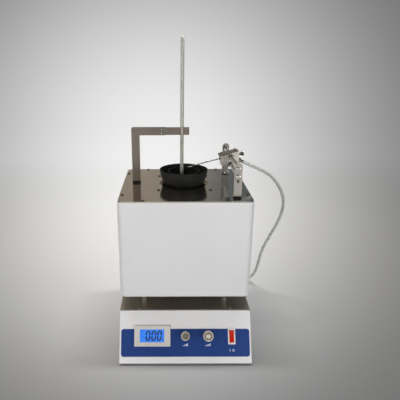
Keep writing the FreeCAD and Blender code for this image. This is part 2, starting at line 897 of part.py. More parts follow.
def clip_jaw(side):
    """One spring jaw: flat against the arm, half round over the stem, with a lip turned out."""
    near = steel_plate / 2
    far = near + jaw_thick
    bore = stem_radius + clip_gap
    z = plate_top + arm_top - bracket_width / 2 - jaw_height / 2

    def strip(x0, x1, y0, y1):
        low, high = min(side * y0, side * y1), max(side * y0, side * y1)
        return solid_box(V(x0, cup_y + low, z), V(x1, cup_y + high, z + jaw_height))
    axis = V(thermometer_x, cup_y, z)
    ring = rod(bore + jaw_thick, jaw_height, axis)
    cut_far = bore + jaw_thick + overrun
    other = solid_box(V(axis.x - cut_far, cup_y + min(side * near, -side * cut_far), z - overrun),
                      V(axis.x + cut_far, cup_y + max(side * near, -side * cut_far),
                        z + jaw_height + overrun))
    body = strip(jaw_start, jaw_end - jaw_lip, near, far).fuse(ring.cut(other))
    lip = prism([V(jaw_end - jaw_lip, cup_y + side * near, z),
                 V(jaw_end, cup_y + side * (near + jaw_lip), z),
                 V(jaw_end, cup_y + side * (far + jaw_lip), z),
                 V(jaw_end - jaw_lip, cup_y + side * far, z)],
                V(0, 0, jaw_height))
    body = body.fuse(lip)
    body = body.cut(rod(bore, jaw_height + 2 * overrun, axis.sub(V(0, 0, overrun)))).removeSplitter()
    return holes(body, rivet_places(), rivet_radius + running_gap, BACK)


def clip_rivets():
    bodies = []
    grip = steel_plate / 2 + jaw_thick
    for place in rivet_places():
        front = place.sub(V(0, grip, 0))
        body = rod(rivet_radius, 2 * grip, front, BACK)
        for base, direction in ((front, V(0, -1, 0)), (front.add(V(0, 2 * grip, 0)), BACK)):
            body = body.fuse(Part.makeCone(rivet_head, rivet_radius, rivet_dome, base, direction))
        bodies.append(body.removeSplitter())
    return bodies


def igniter_post(face_y, side):
    """A slotted upright whose foot points to the middle of the instrument."""
    base_z = plate_top + gasket
    height = plate_top + post_top - base_z
    body = sheet_bend(post_width, height, post_foot, steel_plate, bend_radius, V(post_x, face_y, base_z),
                      side)
    crown = post_width / 2
    keep = rod(crown, 6 * overrun, V(post_x, face_y - 3 * overrun, plate_top + post_top - crown), BACK)
    below = solid_box(V(post_x - post_width, face_y - 6 * overrun, base_z - overrun),
                      V(post_x + post_width, face_y + 6 * overrun, plate_top + post_top - crown))
    body = body.common(keep.fuse(below))
    upper = V(post_x, face_y, plate_top + upper_rod_z)
    body = holes(body, [upper], rod_screw_radius + hole_gap, BACK)
    low = plate_top + slot_bottom + slot_width / 2
    slot = solid_box(V(post_x - slot_width / 2, face_y - overrun, low),
                     V(post_x + slot_width / 2, face_y + overrun, plate_top + lower_rod_z))
    for z in (low, plate_top + lower_rod_z):
        slot = slot.fuse(rod(slot_width / 2, 2 * overrun, V(post_x, face_y - overrun, z), BACK))
    return body.cut(slot)


def front_post():
    body = igniter_post(furnace_y + front_post_y, 1)
    return holes(body, [plate_feet()[1][0].add(V(0, 0, 2 * overrun))], screw_radius + hole_gap)


def rear_post():
    body = igniter_post(furnace_y + rear_post_y, -1)
    return holes(body, [plate_feet()[2][0].add(V(0, 0, 2 * overrun))], screw_radius + hole_gap)


def front_gasket():
    centre = V(post_x, furnace_y + front_post_y + post_foot / 2, plate_top)
    return holes(plate(post_width, post_foot, gasket, running_gap, centre), [plate_feet()[1][0]],
                 screw_radius + hole_gap)


def rear_washer():
    place = plate_feet()[2][0].add(V(0, 0, steel_plate))
    return rod(washer_radius, gasket, place).cut(rod(screw_radius + hole_gap, gasket, place))


rod_front = furnace_y + front_post_y + steel_plate
rod_rear = furnace_y + rear_post_y - steel_plate


def guide_rod(radius, z):
    body = rod(radius, rod_rear - rod_front, V(post_x, rod_front, plate_top + z), BACK)
    depth = rod_screw_length + overrun - steel_plate
    for start, direction in ((rod_front, BACK), (rod_rear, V(0, -1, 0))):
        body = body.cut(rod(rod_screw_radius, depth, V(post_x, start, plate_top + z), direction))
    return body


def rod_screws():
    bodies = []
    for z in (upper_rod_z, lower_rod_z):
        for y, direction in ((rod_front - steel_plate, V(0, -1, 0)), (rod_rear + steel_plate, BACK)):
            bodies.append(pan_screw(V(post_x, y, plate_top + z), direction, rod_screw_radius,
                                    rod_screw_length,
                                    rod_head_radius, rod_head_height))
    return bodies


def carriage_top(x):
    """The height of the block's tilted top, above the top plate, at a place along X."""
    return cover_rise_left + (x - carriage_left) * math.tan(tilt)


def needle_axis():
    """A place and direction on the line that the needle valve turns about."""
    return V(carriage_right, cup_y, plate_top + needle_z), V(math.cos(tilt), 0, math.sin(tilt))


def nozzle_line():
    """The nozzle's points from its tip to its port, and on into the block."""
    tip = V(nozzle_tip_x, cup_y, plate_top + nozzle_tip_z)
    port = V(carriage_left, cup_y, plate_top + nozzle_port_z)
    middle = tip.add(port.sub(tip) * nozzle_mid_share).add(V(0, 0, nozzle_mid_sag))
    end = port.add(port.sub(middle).normalize() * nozzle_seat)
    return tip, middle, port, end


def igniter_block():
    z = plate_top
    y0 = cup_y - carriage_depth / 2
    points = [V(carriage_left, y0, z + carriage_bottom), V(carriage_right, y0, z + carriage_bottom),
              V(carriage_right, y0, z + carriage_top(carriage_right)),
              V(carriage_left, y0, z + carriage_top(carriage_left))]
    body = prism(points, V(0, carriage_depth, 0))
    bush = upper_rod_radius + running_gap + bush_wall
    body = body.cut(rod(bush, carriage_depth + 2 * overrun, V(post_x, y0 - overrun, z + upper_rod_z), BACK))
    shoe = lower_rod_radius + running_gap + shoe_wall
    body = body.cut(rod(shoe, carriage_depth + 2 * overrun, V(post_x, y0 - overrun, z + lower_rod_z), BACK))
    _, middle, port, end = nozzle_line()
    line = end.sub(port).normalize()
    for radius, depth in ((nozzle_radius, nozzle_seat), (ferrule_radius, ferrule_length / 2)):
        body = body.cut(rod(radius, depth + overrun, port.sub(line * overrun), line))
    start, axis = needle_axis()
    body = body.cut(rod(needle_stem_radius + running_gap, needle_seat + overrun,
                        start.sub(axis * needle_seat), axis))
    base, down = barb_line()
    body = body.cut(rod(hose_radius - sheet, carriage_barb_length / 2,
                        base.sub(down * (carriage_barb_length / 4)), down))
    for place in cover_screw_places():
        body = body.cut(rod(cover_screw_radius, cover_screw_depth, place, cover_down()))
    return body


def cover_down():
    return V(math.sin(tilt), 0, -math.cos(tilt))


def cover_frame(x, y, lift):
    """A place on the block's tilted top: x along it from its left end, lift above it."""
    place = V(carriage_left, cup_y, plate_top + cover_rise_left)
    return place.add(V(math.cos(tilt), 0, math.sin(tilt)) * x).add(V(0, y, 0)).sub(cover_down() * lift)


cover_length = (carriage_right - carriage_left) / math.cos(tilt)


def cover_screw_places():
    return [cover_frame(x, side * (carriage_depth / 2 - cover_screw_inset), 0)
            for x in (cover_screw_inset, cover_length - cover_setback - cover_screw_inset)
            for side in (-1, 1)]


def cover_plate():
    width = cover_length - cover_setback + cover_overhang
    middle = V((cover_length - cover_setback - cover_overhang) / 2, 0, 0)
    body = plate(width, carriage_depth + cover_lip, cover_thick, cover_lip / 2, middle)
    body.Placement = FreeCAD.Placement(cover_frame(0, 0, 0), FreeCAD.Rotation(BACK, -carriage_tilt))
    for place in cover_screw_places():
        body = body.cut(rod(cover_screw_radius + hole_gap, 2 * overrun, place.add(cover_down() * overrun),
                            cover_down() * -1))
    return body


def cover_screws():
    up = cover_down() * -1
    return [pan_screw(place.add(up * cover_thick), up, cover_screw_radius,
                      cover_thick + cover_screw_depth * cover_thread_share,
                      cover_screw_head, cover_thick * cover_head_share) for place in cover_screw_places()]


def rod_bush():
    base = V(post_x, cup_y - carriage_depth / 2 - cover_thick / 2, plate_top + upper_rod_z)
    length = carriage_depth + cover_thick
    body = rod(upper_rod_radius + running_gap + bush_wall, length, base, BACK)
    return body.cut(rod(upper_rod_radius + running_gap, length, base, BACK))


def guide_shoe():
    base = V(post_x, cup_y - carriage_depth / 2 - cover_thick / 2, plate_top + lower_rod_z)
    length = carriage_depth + cover_thick
    body = rod(lower_rod_radius + running_gap + shoe_wall, length, base, BACK)
    return body.cut(rod(lower_rod_radius + running_gap, length, base, BACK))


def nozzle_tube():
    tip, middle, port, end = nozzle_line()
    edges, _, _ = route_of([tip, middle, end])
    start = middle.sub(tip).normalize()
    outer = Part.Wire(edges).makePipeShell([Part.Wire(Part.makeCircle(nozzle_radius, tip, start))], True,
                                           False)
    inner = Part.Wire(edges).makePipeShell([Part.Wire(Part.makeCircle(nozzle_bore, tip, start))], True,
                                           False)
    return outer.cut(inner)


def nozzle_ferrule():
    _, middle, port, end = nozzle_line()
    line = end.sub(port).normalize()
    base = port.sub(line * (ferrule_length / 2))
    body = rod(ferrule_radius, ferrule_length, base, line)
    return body.cut(rod(nozzle_radius, ferrule_length + overrun, base.sub(line * (overrun / 2)), line))


def needle_knob():
    start, axis = needle_axis()
    stem = rod(needle_stem_radius, needle_seat + needle_neck, start.sub(axis * needle_seat), axis)
    base = start.add(axis * needle_neck)
    cone = Part.makeCone(needle_stem_radius + running_gap, needle_end_radius, needle_length - needle_end,
                         base, axis)
    end = rod(needle_end_radius, needle_end, base.add(axis * (needle_length - needle_end)), axis)
    return stem.fuse(cone).fuse(end).removeSplitter()


def barb_line():
    """Where the hose fitting leaves the block, and its direction."""
    drop = math.radians(carriage_barb_drop)
    base = V(carriage_right, cup_y + carriage_barb_y, plate_top + carriage_barb_z + barb_hex / 2)
    return base, V(math.cos(drop), 0, -math.sin(drop))


def hose_barb():
    base, line = barb_line()
    seat = carriage_barb_length / 4
    body = rod(hose_radius - sheet, seat + barb_hex_length, base.sub(line * seat), line)
    nut = hexagon(barb_hex, barb_hex_length,
                  base.add(line * (barb_hex * math.tan(math.radians(carriage_barb_drop)) / 2)), line)
    neck = rod(hose_radius, carriage_barb_length - barb_hex_length, base.add(line * barb_hex_length), line)
    body = body.fuse(nut).fuse(neck)
    clear = solid_box(V(carriage_right - carriage_barb_length, base.y - barb_hex, base.z - barb_hex),
                      V(carriage_right, base.y + barb_hex, base.z + barb_hex))
    keep = rod(hose_radius - sheet, carriage_barb_length, base.sub(line * seat), line)
    return body.cut(clear.cut(keep)).cut(rod(hose_bore - hose_bore / 2, 2 * carriage_barb_length,
                                             base.sub(line * seat), line)).removeSplitter()


def gas_fitting(x):
    """A rear fitting: hexagon, ribbed nose for a hose, and a tail through the wall."""
    nose = fitting_reach - fitting_hex_length
    points = [(fitting_bore, -fitting_tail), (fitting_tail_radius, -fitting_tail), (fitting_tail_radius, 0),
              (fitting_radius, 0), (fitting_radius, fitting_reach * nose_start_share),
              (fitting_radius * nose_share, fitting_reach),
              (fitting_bore, fitting_reach)]
    body = turned(points, V(0, 0, 0))
    hexed = hexagon(fitting_hex, fitting_hex_length,
                    V(0, 0, 0)).cut(rod(fitting_bore, fitting_hex_length, V(0, 0, 0)))
    body = body.fuse(hexed)
    for k in (0, 1):
        z = fitting_reach - nose * (groove_start_share + groove_pitch_share * k)
        cut = rod(fitting_radius + overrun, nose * groove_width_share,
                  V(0, 0, z - nose * groove_width_share))
        body = body.cut(cut.cut(rod(fitting_radius * groove_floor_share, nose, V(0, 0, z - nose / 2))))
    return to_rear(body.removeSplitter(), x, fitting_z)


def fitting_nuts():
    bodies = []
    for x in (gas_inlet_x, gas_outlet_x):
        nut = hexagon(fitting_hex, nut_height, V(0, 0, -sheet - nut_height))
        bodies.append(to_rear(nut.cut(rod(fitting_tail_radius, 2 * nut_height,
                                          V(0, 0, -sheet - 1.5 * nut_height))), x, fitting_z))
    return bodies


def gas_hose():
    """The silicone hose: out of the carriage to the right, down beside the furnace and into the rear
    fitting."""
    base, line = barb_line()
    start = base.add(line * carriage_barb_length)
    end = V(gas_outlet_x, console_rear + fitting_reach, fitting_z)
    points = [start, start.add(line * hose_first_run)] + [V(*p) for p in HOSE_ROUTE] + [end]
    return tube_along(points, hose_radius, 0, "gas_hose")


HOSE_ROUTE = [
    (158.5, 37.0, 351.0), (184.5, 46.0, 337.0), (206.5, 56.0, 317.0), (225.0, 67.0, 288.5),
    (235.0, 77.0, 260.5),
    (235.0, 86.0, 232.0), (229.5, 94.0, 203.5), (218.0, 103.0, 170.5), (206.0, 112.0, 138.0), (199.5, 121.0,
                                                                                               106.5),
    (197.5, 130.0, 76.0), (194.0, 142.0, 46.0), (188.5, 157.0, 23.0), (181.5, 179.0, 8.5), (172.4, 202.0,
                                                                                            5.6),
    (160.5, 222.5, 6.5), (140.0, 235.0, 10.5), (116.0, 235.0, 18.5), (95.5, 224.0, 29.5), (85.0, 205.0,
                                                                                           42.0),
    (85.0, 184.0, 50.0),
]


def panel_label():
    body = plate(label_width, label_height, label_thick, label_corner, V(0, 0, 0))
    body = to_panel(body, 0, label_drop + label_height / 2)
    return panel_holes(body, bush_radius + hole_gap)


def window_opening(thick, grow, base):
    return plate(window_width + 2 * grow, window_height + 2 * grow, thick, bezel_corner / 2,
                 V(window_shift, 0, base))


def meter_bezel():
    body = plate(bezel_width, bezel_height, bezel_thick, bezel_corner, V(0, 0, 0))
    rim = [e for e in body.Edges if all(abs(v.Z - bezel_thick) < round_off for v in e.Vertexes)]
    body = body.makeChamfer(bezel_thick * bezel_bevel_share, rim)
    field = plate(bezel_width - 2 * bezel_rim, bezel_height - 2 * bezel_rim, bezel_step + overrun,
                  bezel_corner,
                  V(0, 0, bezel_thick - bezel_step))
    body = body.cut(field).cut(window_opening(bezel_thick + overrun, 0, -overrun / 2))
    return to_panel(body, meter_x, meter_drop, label_thick)


def meter_case():
    body = plate(meter_width, meter_height, meter_depth + label_thick, bezel_corner,
                 V(0, 0, -meter_depth - label_thick))
    room = window_opening(display_thick + window_thick, running_gap, -display_thick - window_thick)
    return to_panel(body.cut(room), meter_x, meter_drop, label_thick)


def meter_display():
    body = window_opening(display_thick, 0, -display_thick - window_thick)
    return to_panel(body, meter_x, meter_drop, label_thick)


def meter_window():
    return to_panel(window_opening(window_thick, 0, -window_thick), meter_x, meter_drop, label_thick)


def control_knob(radius, height, x, bossed):
    """A turned metal knob with a bevelled edge, a hollow face and a bore for its shaft."""
    points = [(0, 0), (radius, 0), (radius, height - knob_edge), (radius - knob_edge, height),
              (radius * dimple_radius_share, height), (radius * dimple_radius_share, height - dimple_depth)]
    if bossed:
        boss = radius * boss_radius_share
        points += [(boss, height - dimple_depth), (boss, height - dimple_depth * boss_top_share),
                   (0, height - dimple_depth * boss_top_share)]
    else:
        points += [(0, height - dimple_depth)]
    body = turned(points, V(0, 0, 0))
    body = body.cut(rod(bush_radius + loose_gap, bush_length, V(0, 0, 0)))
    body = body.cut(rod(shaft_radius + running_gap, shaft_seat, V(0, 0, 0)))
    return to_panel(body, x, control_drop, label_thick + knob_lift)


def shafted_body(body_radius, body_depth, x):
    """A control behind the panel: its body, threaded bush and shaft."""
    body = rod(body_radius, body_depth, V(0, 0, -sheet - body_depth))
    body = body.fuse(rod(bush_radius, sheet + label_thick + knob_lift + bush_length * bush_seen_share,
                         V(0, 0, -sheet)))
    shaft_top = label_thick + knob_lift + shaft_seat - loose_gap
    body = body.fuse(rod(shaft_radius, shaft_top + sheet, V(0, 0, -sheet)))
    return to_panel(body.removeSplitter(), x, control_drop)


def panel_nuts():
    bodies = []
    for x in (voltage_x, gas_x):
        nut = hexagon(panel_nut_width, panel_nut_height,
                      V(0, 0, label_thick)).cut(rod(bush_radius, overrun, V(0, 0, 0)))
        bodies.append(to_panel(nut, x, control_drop))
    return bodies


def switch_body():
    flange = plate(switch_width, switch_height, switch_thick, switch_corner, V(0, 0, 0))
    rear = plate(switch_body_width, switch_body_height, switch_body_depth, switch_corner,
                 V(0, 0, -switch_body_depth))
    well = plate(rocker_width + 2 * loose_gap, rocker_height + 2 * loose_gap,
                 rocker_well + switch_thick + overrun,
                 running_gap, V(0, 0, -rocker_well))
    body = flange.fuse(rear).cut(well)
    pin = rod(rocker_pin_radius, switch_body_width, V(-switch_body_width / 2, 0, 0), RIGHT)
    body = body.fuse(pin).removeSplitter()
    return to_panel(body, switch_x, switch_drop, label_thick)


def switch_rocker():
    """A rocker whose two faces meet at a low ridge; it turns on a pin across the switch."""
    half = rocker_height / 2
    top = switch_thick + rocker_rise
    rise = half * math.tan(math.radians(rocker_throw))
    x = -rocker_width / 2
    ring = [V(x, -half, top), V(x, 0, top - rise * ridge_share), V(x, half, top + rise),
            V(x, half * heel_share, -rocker_well * heel_share),
            V(x, -half * heel_share, -rocker_well * heel_share)]
    body = prism(ring, V(rocker_width, 0, 0)).common(rod(half, rocker_width, V(x, 0, 0), RIGHT))
    body = body.cut(rod(rocker_pin_radius + running_gap, switch_body_width, V(-switch_body_width / 2, 0, 0),
                        RIGHT))
    return to_panel(body, switch_x, switch_drop, label_thick)


def mains_inlet():
    flange = plate(inlet_flange_width, inlet_flange_height, inlet_flange, switch_corner, V(0, 0, 0))
    rear = plate(inlet_width, inlet_height, inlet_depth, bezel_corner, V(0, 0, -inlet_depth))
    body = flange.fuse(rear)
    well = plate(inlet_width - 2 * inlet_wall, inlet_height - 2 * inlet_wall, inlet_well + overrun,
                 bezel_corner,
                 V(0, 0, inlet_flange - inlet_well))
    body = body.cut(well)
    for x, y in ((-contact_pitch, -contact_rise), (contact_pitch, -contact_rise), (0, contact_rise)):
        blade = solid_box(V(x - contact_width / 2, y - contact_thick / 2, inlet_flange - inlet_well),
                          V(x + contact_width / 2, y + contact_thick / 2,
                            inlet_flange - inlet_well + contact_length))
        body = body.fuse(blade)
    return to_rear(holes(body.removeSplitter(), inlet_ears(), screw_radius * small_screw_share + hole_gap),
                   inlet_x, fitting_z)


def inlet_ears():
    return [V(side * ear_pitch / 2, 0, 0) for side in (-1, 1)]


def inlet_screws():
    bodies = []
    for place in inlet_ears():
        seat = place.add(V(0, 0, inlet_flange))
        screw = pan_screw(seat, UP, screw_radius * small_screw_share, inlet_flange,
                          screw_head_radius * small_screw_share, screw_head_height * small_head_share)
        bodies.append(to_rear(screw, inlet_x, fitting_z))
    return bodies


def fuse_holder():
    body = rod(fuse_flange_radius, fuse_flange,
               V(0, 0, 0)).fuse(rod(fuse_radius, fuse_depth, V(0, 0, -fuse_depth)))
    cap = rod(fuse_radius * fuse_cap_share, fuse_cap_length, V(0, 0, 0))
    slot = solid_box(V(-fuse_radius, -knob_edge, fuse_cap_length - knob_edge),
                     V(fuse_radius, knob_edge, fuse_cap_length))
    return to_rear(body.fuse(cap).cut(slot).removeSplitter(), fuse_x, fitting_z)


board_floor = console_bottom + sheet


def control_board():
    place = V(board_x, board_y, board_floor + standoff_height)
    body = plate(board_width, board_depth, board_thick, running_gap, place)
    top = place.add(V(0, 0, board_thick))
    coil = V(board_width / 4, 0, 0)
    body = body.fuse(plate(transformer_width, transformer_depth, transformer_height, running_gap,
                           top.add(coil)))
    for side in (-1, 1):
        at = top.add(V(-board_width / 4, side * (relay_depth / 2 + component_gap), 0))
        body = body.fuse(plate(relay_width, relay_depth, relay_height, running_gap, at))
    return holes(body.removeSplitter(), board_corners(), screw_radius * small_screw_share)


def board_corners():
    return corners_at(board_width / 2 - board_inset, board_depth / 2 - board_inset,
                      V(board_x, board_y, board_floor + standoff_height))


def board_standoffs():
    bodies = []
    for place in board_corners():
        post = rod(standoff_radius, standoff_height, place.sub(V(0, 0, standoff_height)))
        spigot = rod(screw_radius * small_screw_share, board_thick, place)
        bodies.append(post.fuse(spigot).removeSplitter())
    return bodies


def heat_sink():
    low = V(sink_x - sink_width / 2, sink_y - sink_depth / 2, board_floor)
    body = solid_box(low, low.add(V(sink_width, sink_depth, sink_base)))
    pitch = (sink_width - fin_thick) / (fin_count - 1)
    for k in range(fin_count):
        fin = low.add(V(k * pitch, 0, sink_base))
        body = body.fuse(solid_box(fin, fin.add(V(fin_thick, sink_depth, sink_height - sink_base))))
    return body.removeSplitter()


def inlet_pipe():
    inward = V(0, math.cos(lean), -math.sin(lean))
    top = V(gas_x, panel_top_y - math.sin(lean) * control_drop, panel_top_z - math.cos(lean) * control_drop)
    start = top.add(inward * (sheet + valve_body_depth))
    end = V(gas_inlet_x, console_rear - fitting_tail, fitting_z)
    low = board_floor + pipe_floor
    reach = console_rear - start.y
    points = [start, start.add(inward * (2 * overrun)),
              V(gas_x + pipe_radius, start.y + reach * pipe_bend_shares[0], low - pipe_radius),
              V(gas_x - pipe_radius, start.y + reach * pipe_bend_shares[1], low),
              end.sub(V(0, 3 * overrun, 0)), end]
    return tube_along(points, pipe_radius, 0, "inlet_pipe")


def outlet_pipe():
    inward = V(0, math.cos(lean), -math.sin(lean))
    top = V(gas_x, panel_top_y - math.sin(lean) * control_drop, panel_top_z - math.cos(lean) * control_drop)
    start = top.add(inward * (sheet + valve_body_depth / 2)).add(V(valve_body_radius, 0, 0))
    end = V(gas_outlet_x, console_rear - fitting_tail, fitting_z)
    reach = console_rear - start.y
    points = [start, start.add(V(3 * overrun, 0, 0)),
              V(gas_outlet_x + pipe_radius, start.y + reach * outlet_bend_shares[0], start.z + pipe_radius),
              V(gas_outlet_x - pipe_radius, start.y + reach * outlet_bend_shares[1], start.z),
              end.sub(V(0, 3 * overrun, 0)), end]
    return tube_along(points, pipe_radius, 0, "outlet_pipe")


def save(name, shape):
    """Writes one sub-part; a list of solids becomes one group."""
    if isinstance(shape, list):
        shape = Part.makeCompound(shape)
    if not shape.isValid():
        print("not valid:", name)
    shape.exportStep(os.path.join("parts", name + ".step"))


def main():
    os.makedirs("parts", exist_ok=True)
    save("base_housing", base_housing())
    save("base_bottom_cover", base_bottom_cover())
    save("base_feet", base_feet())
    save("foot_screws", foot_screws())
    save("base_top_plate", base_top_plate())
    save("base_plate_screws", screw_set(console_screws, steel_plate))
    save("support_pillars", support_pillars())
    save("pillar_nuts", pillar_nuts())
    save("lead_conduit", lead_conduit())
    save("furnace_housing", furnace_housing())
    save("furnace_bottom_plate", furnace_bottom_plate())
    save("furnace_top_plate", furnace_top_plate())
    save("top_plate_screws", screw_set(top_screws, steel_plate))
    save("heater_screws", screw_set(heater_screws, steel_plate))
    save("furnace_liner", furnace_liner())
    save("heater_pot", heater_pot())
    save("heater_coil", heater_coil())
    save("heater_lagging", heater_lagging())
    save("outer_crucible", outer_crucible())
    save("inner_crucible", inner_crucible())
    save("thermometer_tube", thermometer_tube())
    save("thermometer_cap", thermometer_cap())
    save("thermometer_scale", thermometer_scale())
    save("thermometer_capillary", thermometer_capillary())
    save("thermometer_bracket", thermometer_bracket())
    save("bracket_gasket", bracket_gasket())
    save("clip_front_jaw", clip_jaw(-1))
    save("clip_rear_jaw", clip_jaw(1))
    save("clip_rivets", clip_rivets())
    save("front_post", front_post())
    save("rear_post", rear_post())
    save("front_post_gasket", front_gasket())
    save("rear_post_washer", rear_washer())
    save("foot_plate_screws", foot_plate_screws())
    save("foot_plate_nuts", foot_plate_nuts())
    save("upper_guide_rod", guide_rod(upper_rod_radius, upper_rod_z))
    save("lower_guide_rod", guide_rod(lower_rod_radius, lower_rod_z))
    save("rod_screws", rod_screws())
    save("igniter_block", igniter_block())
    save("igniter_cover", cover_plate())
    save("cover_screws", cover_screws())
    save("rod_bush", rod_bush())
    save("guide_shoe", guide_shoe())
    save("nozzle_tube", nozzle_tube())
    save("nozzle_ferrule", nozzle_ferrule())
    save("needle_knob", needle_knob())
    save("hose_barb", hose_barb())
    save("gas_hose", gas_hose())
    save("gas_fittings", [gas_fitting(gas_inlet_x), gas_fitting(gas_outlet_x)] + fitting_nuts())
    save("panel_label", panel_label())
    save("meter_bezel", meter_bezel())
    save("meter_case", [meter_case(), meter_display()])
    save("meter_window", meter_window())
    save("voltage_knob", control_knob(voltage_radius, voltage_height, voltage_x, False))
    save("gas_knob", control_knob(gas_radius, gas_height, gas_x, True))
    save("panel_controls", [shafted_body(pot_body_radius, pot_body_depth, voltage_x),
                            shafted_body(valve_body_radius, valve_body_depth, gas_x)] + panel_nuts())
    save("power_switch", switch_body())
    save("switch_rocker", switch_rocker())
    save("rear_connectors", [mains_inlet(), fuse_holder()] + inlet_screws())
    save("electronics", [control_board(), heat_sink(), inlet_pipe(), outlet_pipe()] + board_standoffs())


main()
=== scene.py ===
import bpy
import math
import bmesh
import numpy as np
from mathutils import Matrix, Vector


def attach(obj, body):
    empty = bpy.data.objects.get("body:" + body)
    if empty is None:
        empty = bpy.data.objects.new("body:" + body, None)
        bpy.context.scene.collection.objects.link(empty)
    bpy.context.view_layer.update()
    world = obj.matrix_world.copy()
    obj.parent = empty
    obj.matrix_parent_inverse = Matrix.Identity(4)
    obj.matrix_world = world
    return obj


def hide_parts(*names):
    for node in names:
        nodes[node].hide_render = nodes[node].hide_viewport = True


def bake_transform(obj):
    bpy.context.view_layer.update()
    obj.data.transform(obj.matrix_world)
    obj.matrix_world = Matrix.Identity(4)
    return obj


# Open-cup flash point tester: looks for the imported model, in metres, in the model's own frame.

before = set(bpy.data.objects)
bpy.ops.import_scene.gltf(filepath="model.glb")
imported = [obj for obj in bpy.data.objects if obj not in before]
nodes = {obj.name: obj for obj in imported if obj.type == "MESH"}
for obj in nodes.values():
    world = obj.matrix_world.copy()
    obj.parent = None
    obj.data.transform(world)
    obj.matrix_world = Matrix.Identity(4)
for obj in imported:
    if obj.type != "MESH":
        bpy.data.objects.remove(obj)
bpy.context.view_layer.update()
MM = 0.001

# The picture's camera: lens in pixels of the 400 pixel frame, angles in degrees, place in metres, and
# the width of its sensor in millimetres, which is free.
LENS_PIXELS = 434.115
SENSOR_WIDTH = 36.0
PITCH, YAW, ROLL = 18.678, -0.217, -0.261
CENTRE_PIXEL = (167.185, 202.633)
FRAME_PIXELS = 400
CAMERA_AT = (-0.03209, -0.87828, 0.58150)

# The sloping panel: its top edge and its lean.
PANEL_TOP = np.array([0.0, -0.1171669, 0.094])
LEAN = math.radians(29.0)
DOWN_SLOPE = np.array([0.0, -math.sin(LEAN), -math.cos(LEAN)])
OUT_OF_PANEL = np.array([0.0, -math.cos(LEAN), math.sin(LEAN)])

# The controls, in millimetres: how far down the slope their middles lie and where they stand across it.
CONTROL_DROP = 48.6
HEATER_KNOB_X, GAS_KNOB_X = 0.0, 45.2

# Both knobs, in millimetres: the knurl, the hollow face and its boss as shares of the radius, the stepped
# bore over shaft and nut, and how far the knob stands off the panel.
KNOB_SECTORS, KNOB_TEETH, TOOTH_DEPTH = 192, 48, 0.45
HOLLOW_SHARE, BOSS_SHARE, HOLLOW_DEPTH = 0.76, 0.46, 2.2
SHAFT_BORE, SHAFT_END, NUT_BORE, NUT_ROOM = 3.05, 8, 4.8, 5
KNOB_LIFT = 1.8

# The voltmeter, in millimetres on the panel: its pane, its digits with the width of their strokes and
# the gap before each corner, their lean, and the decimal point's and the minus sign's places and half
# sizes.
METER_X, METER_DROP = -66.3, 48.9
PANE_WIDTH, PANE_HEIGHT, PANE_CORNER = 48.9, 24.9, 0.6
DIGITS_X = (-74.4, -63.0, -51.6)
DIGIT_WIDTH, DIGIT_HEIGHT, STROKE, STROKE_GAP = 9.6, 19.8, 2.9, 0.25
DIGIT_SLANT = 0.07
POINT_AT, POINT_HALF_SIZE = (-44.2, 57.2), (1.1, 1.1)
MINUS_AT, MINUS_HALF_SIZE = (-87.0, 40.4), (1.6, 0.4)

# The levels of the voltmeter's layers and of the printed marks, in millimetres out of the panel.
GLOW_LOW, INK_LOW, INK_HIGH = -0.80, -0.60, -0.50
PANE_LOW, PANE_HIGH = -0.30, 0.38
PRINT_LOW, PRINT_HIGH = 0.38, 0.44

# The marks under the controls, in millimetres: how far down the slope they lie, the five bars under each
# knob, and where the switch's line and ring stand across the slope.
BARS_DROP, SWITCH_MARKS_DROP = 68.8, 77.0
BAR_COUNT, BAR_PITCH, BAR_HALF_WIDTH = 5, 2.2, 0.6
SHORTEST_BAR, BAR_RISE = 1.4, 0.9
LINE_X, LINE_HALF_SIZE = 89.0, (0.45, 2.2)
RING_X, RING_RADII = 95.6, (2.2, 1.4)

# The thermometer's middle, in metres across; it stands a little to the left.
SCALE_X = -0.0041

# The studio's sweep, whose grey is a painted pool of light: its lightest place in pixels and how far the
# painted light falls off from there, and its dimmest grey and the rise over it, of 255.
LIGHTEST_PIXEL = (157, 157)
FALL_OFF_PIXELS = 380
DIM_GREY, GREY_RISE = 110, 135

# The sweep's apron: its grey of 1, where it starts and over which length it rises, and where and over
# which length it fades, in metres to the back.
APRON_GREY = 0.90
APRON_START, APRON_RISE = -0.34, 0.5
APRON_END, APRON_FADE = -2.4, 0.6

# How far the paper glows near the instrument and at the wall, from where and over which length, in metres
# to the back, and the room's colours.
STAGE_GLOW, WALL_GLOW = 0.02, 0.88
GLOW_START, GLOW_RISE = 0.3, 1.5
ROOM_LOW, ROOM_LEFT, ROOM_RIGHT = "#B9B9B9", "#9E968D", "#6E7273"

# The gas hose: radius in metres, and the points of its route in millimetres.
HOSE_RADIUS = 0.0035
HOSE_POINTS = [
    (126.876, 29.5, 366.212), (139.666, 29.5, 360.518), (158.5, 37.0, 351.0), (184.5, 46.0, 337.0),
    (206.5, 56.0, 317.0), (225.0, 67.0, 288.5), (235.0, 77.0, 260.5), (235.0, 86.0, 232.0),
    (229.5, 94.0, 203.5), (218.0, 103.0, 170.5), (206.0, 112.0, 138.0), (199.5, 121.0, 106.5),
    (197.5, 130.0, 76.0), (194.0, 142.0, 46.0), (188.5, 157.0, 23.0), (181.5, 179.0, 8.5),
    (172.4, 202.0, 5.6), (160.5, 222.5, 6.5), (140.0, 235.0, 10.5), (116.0, 235.0, 18.5),
    (95.5, 224.0, 29.5), (85.0, 205.0, 42.0), (85.0, 184.0, 50.0), (85.0, 166.5, 50.0),
]


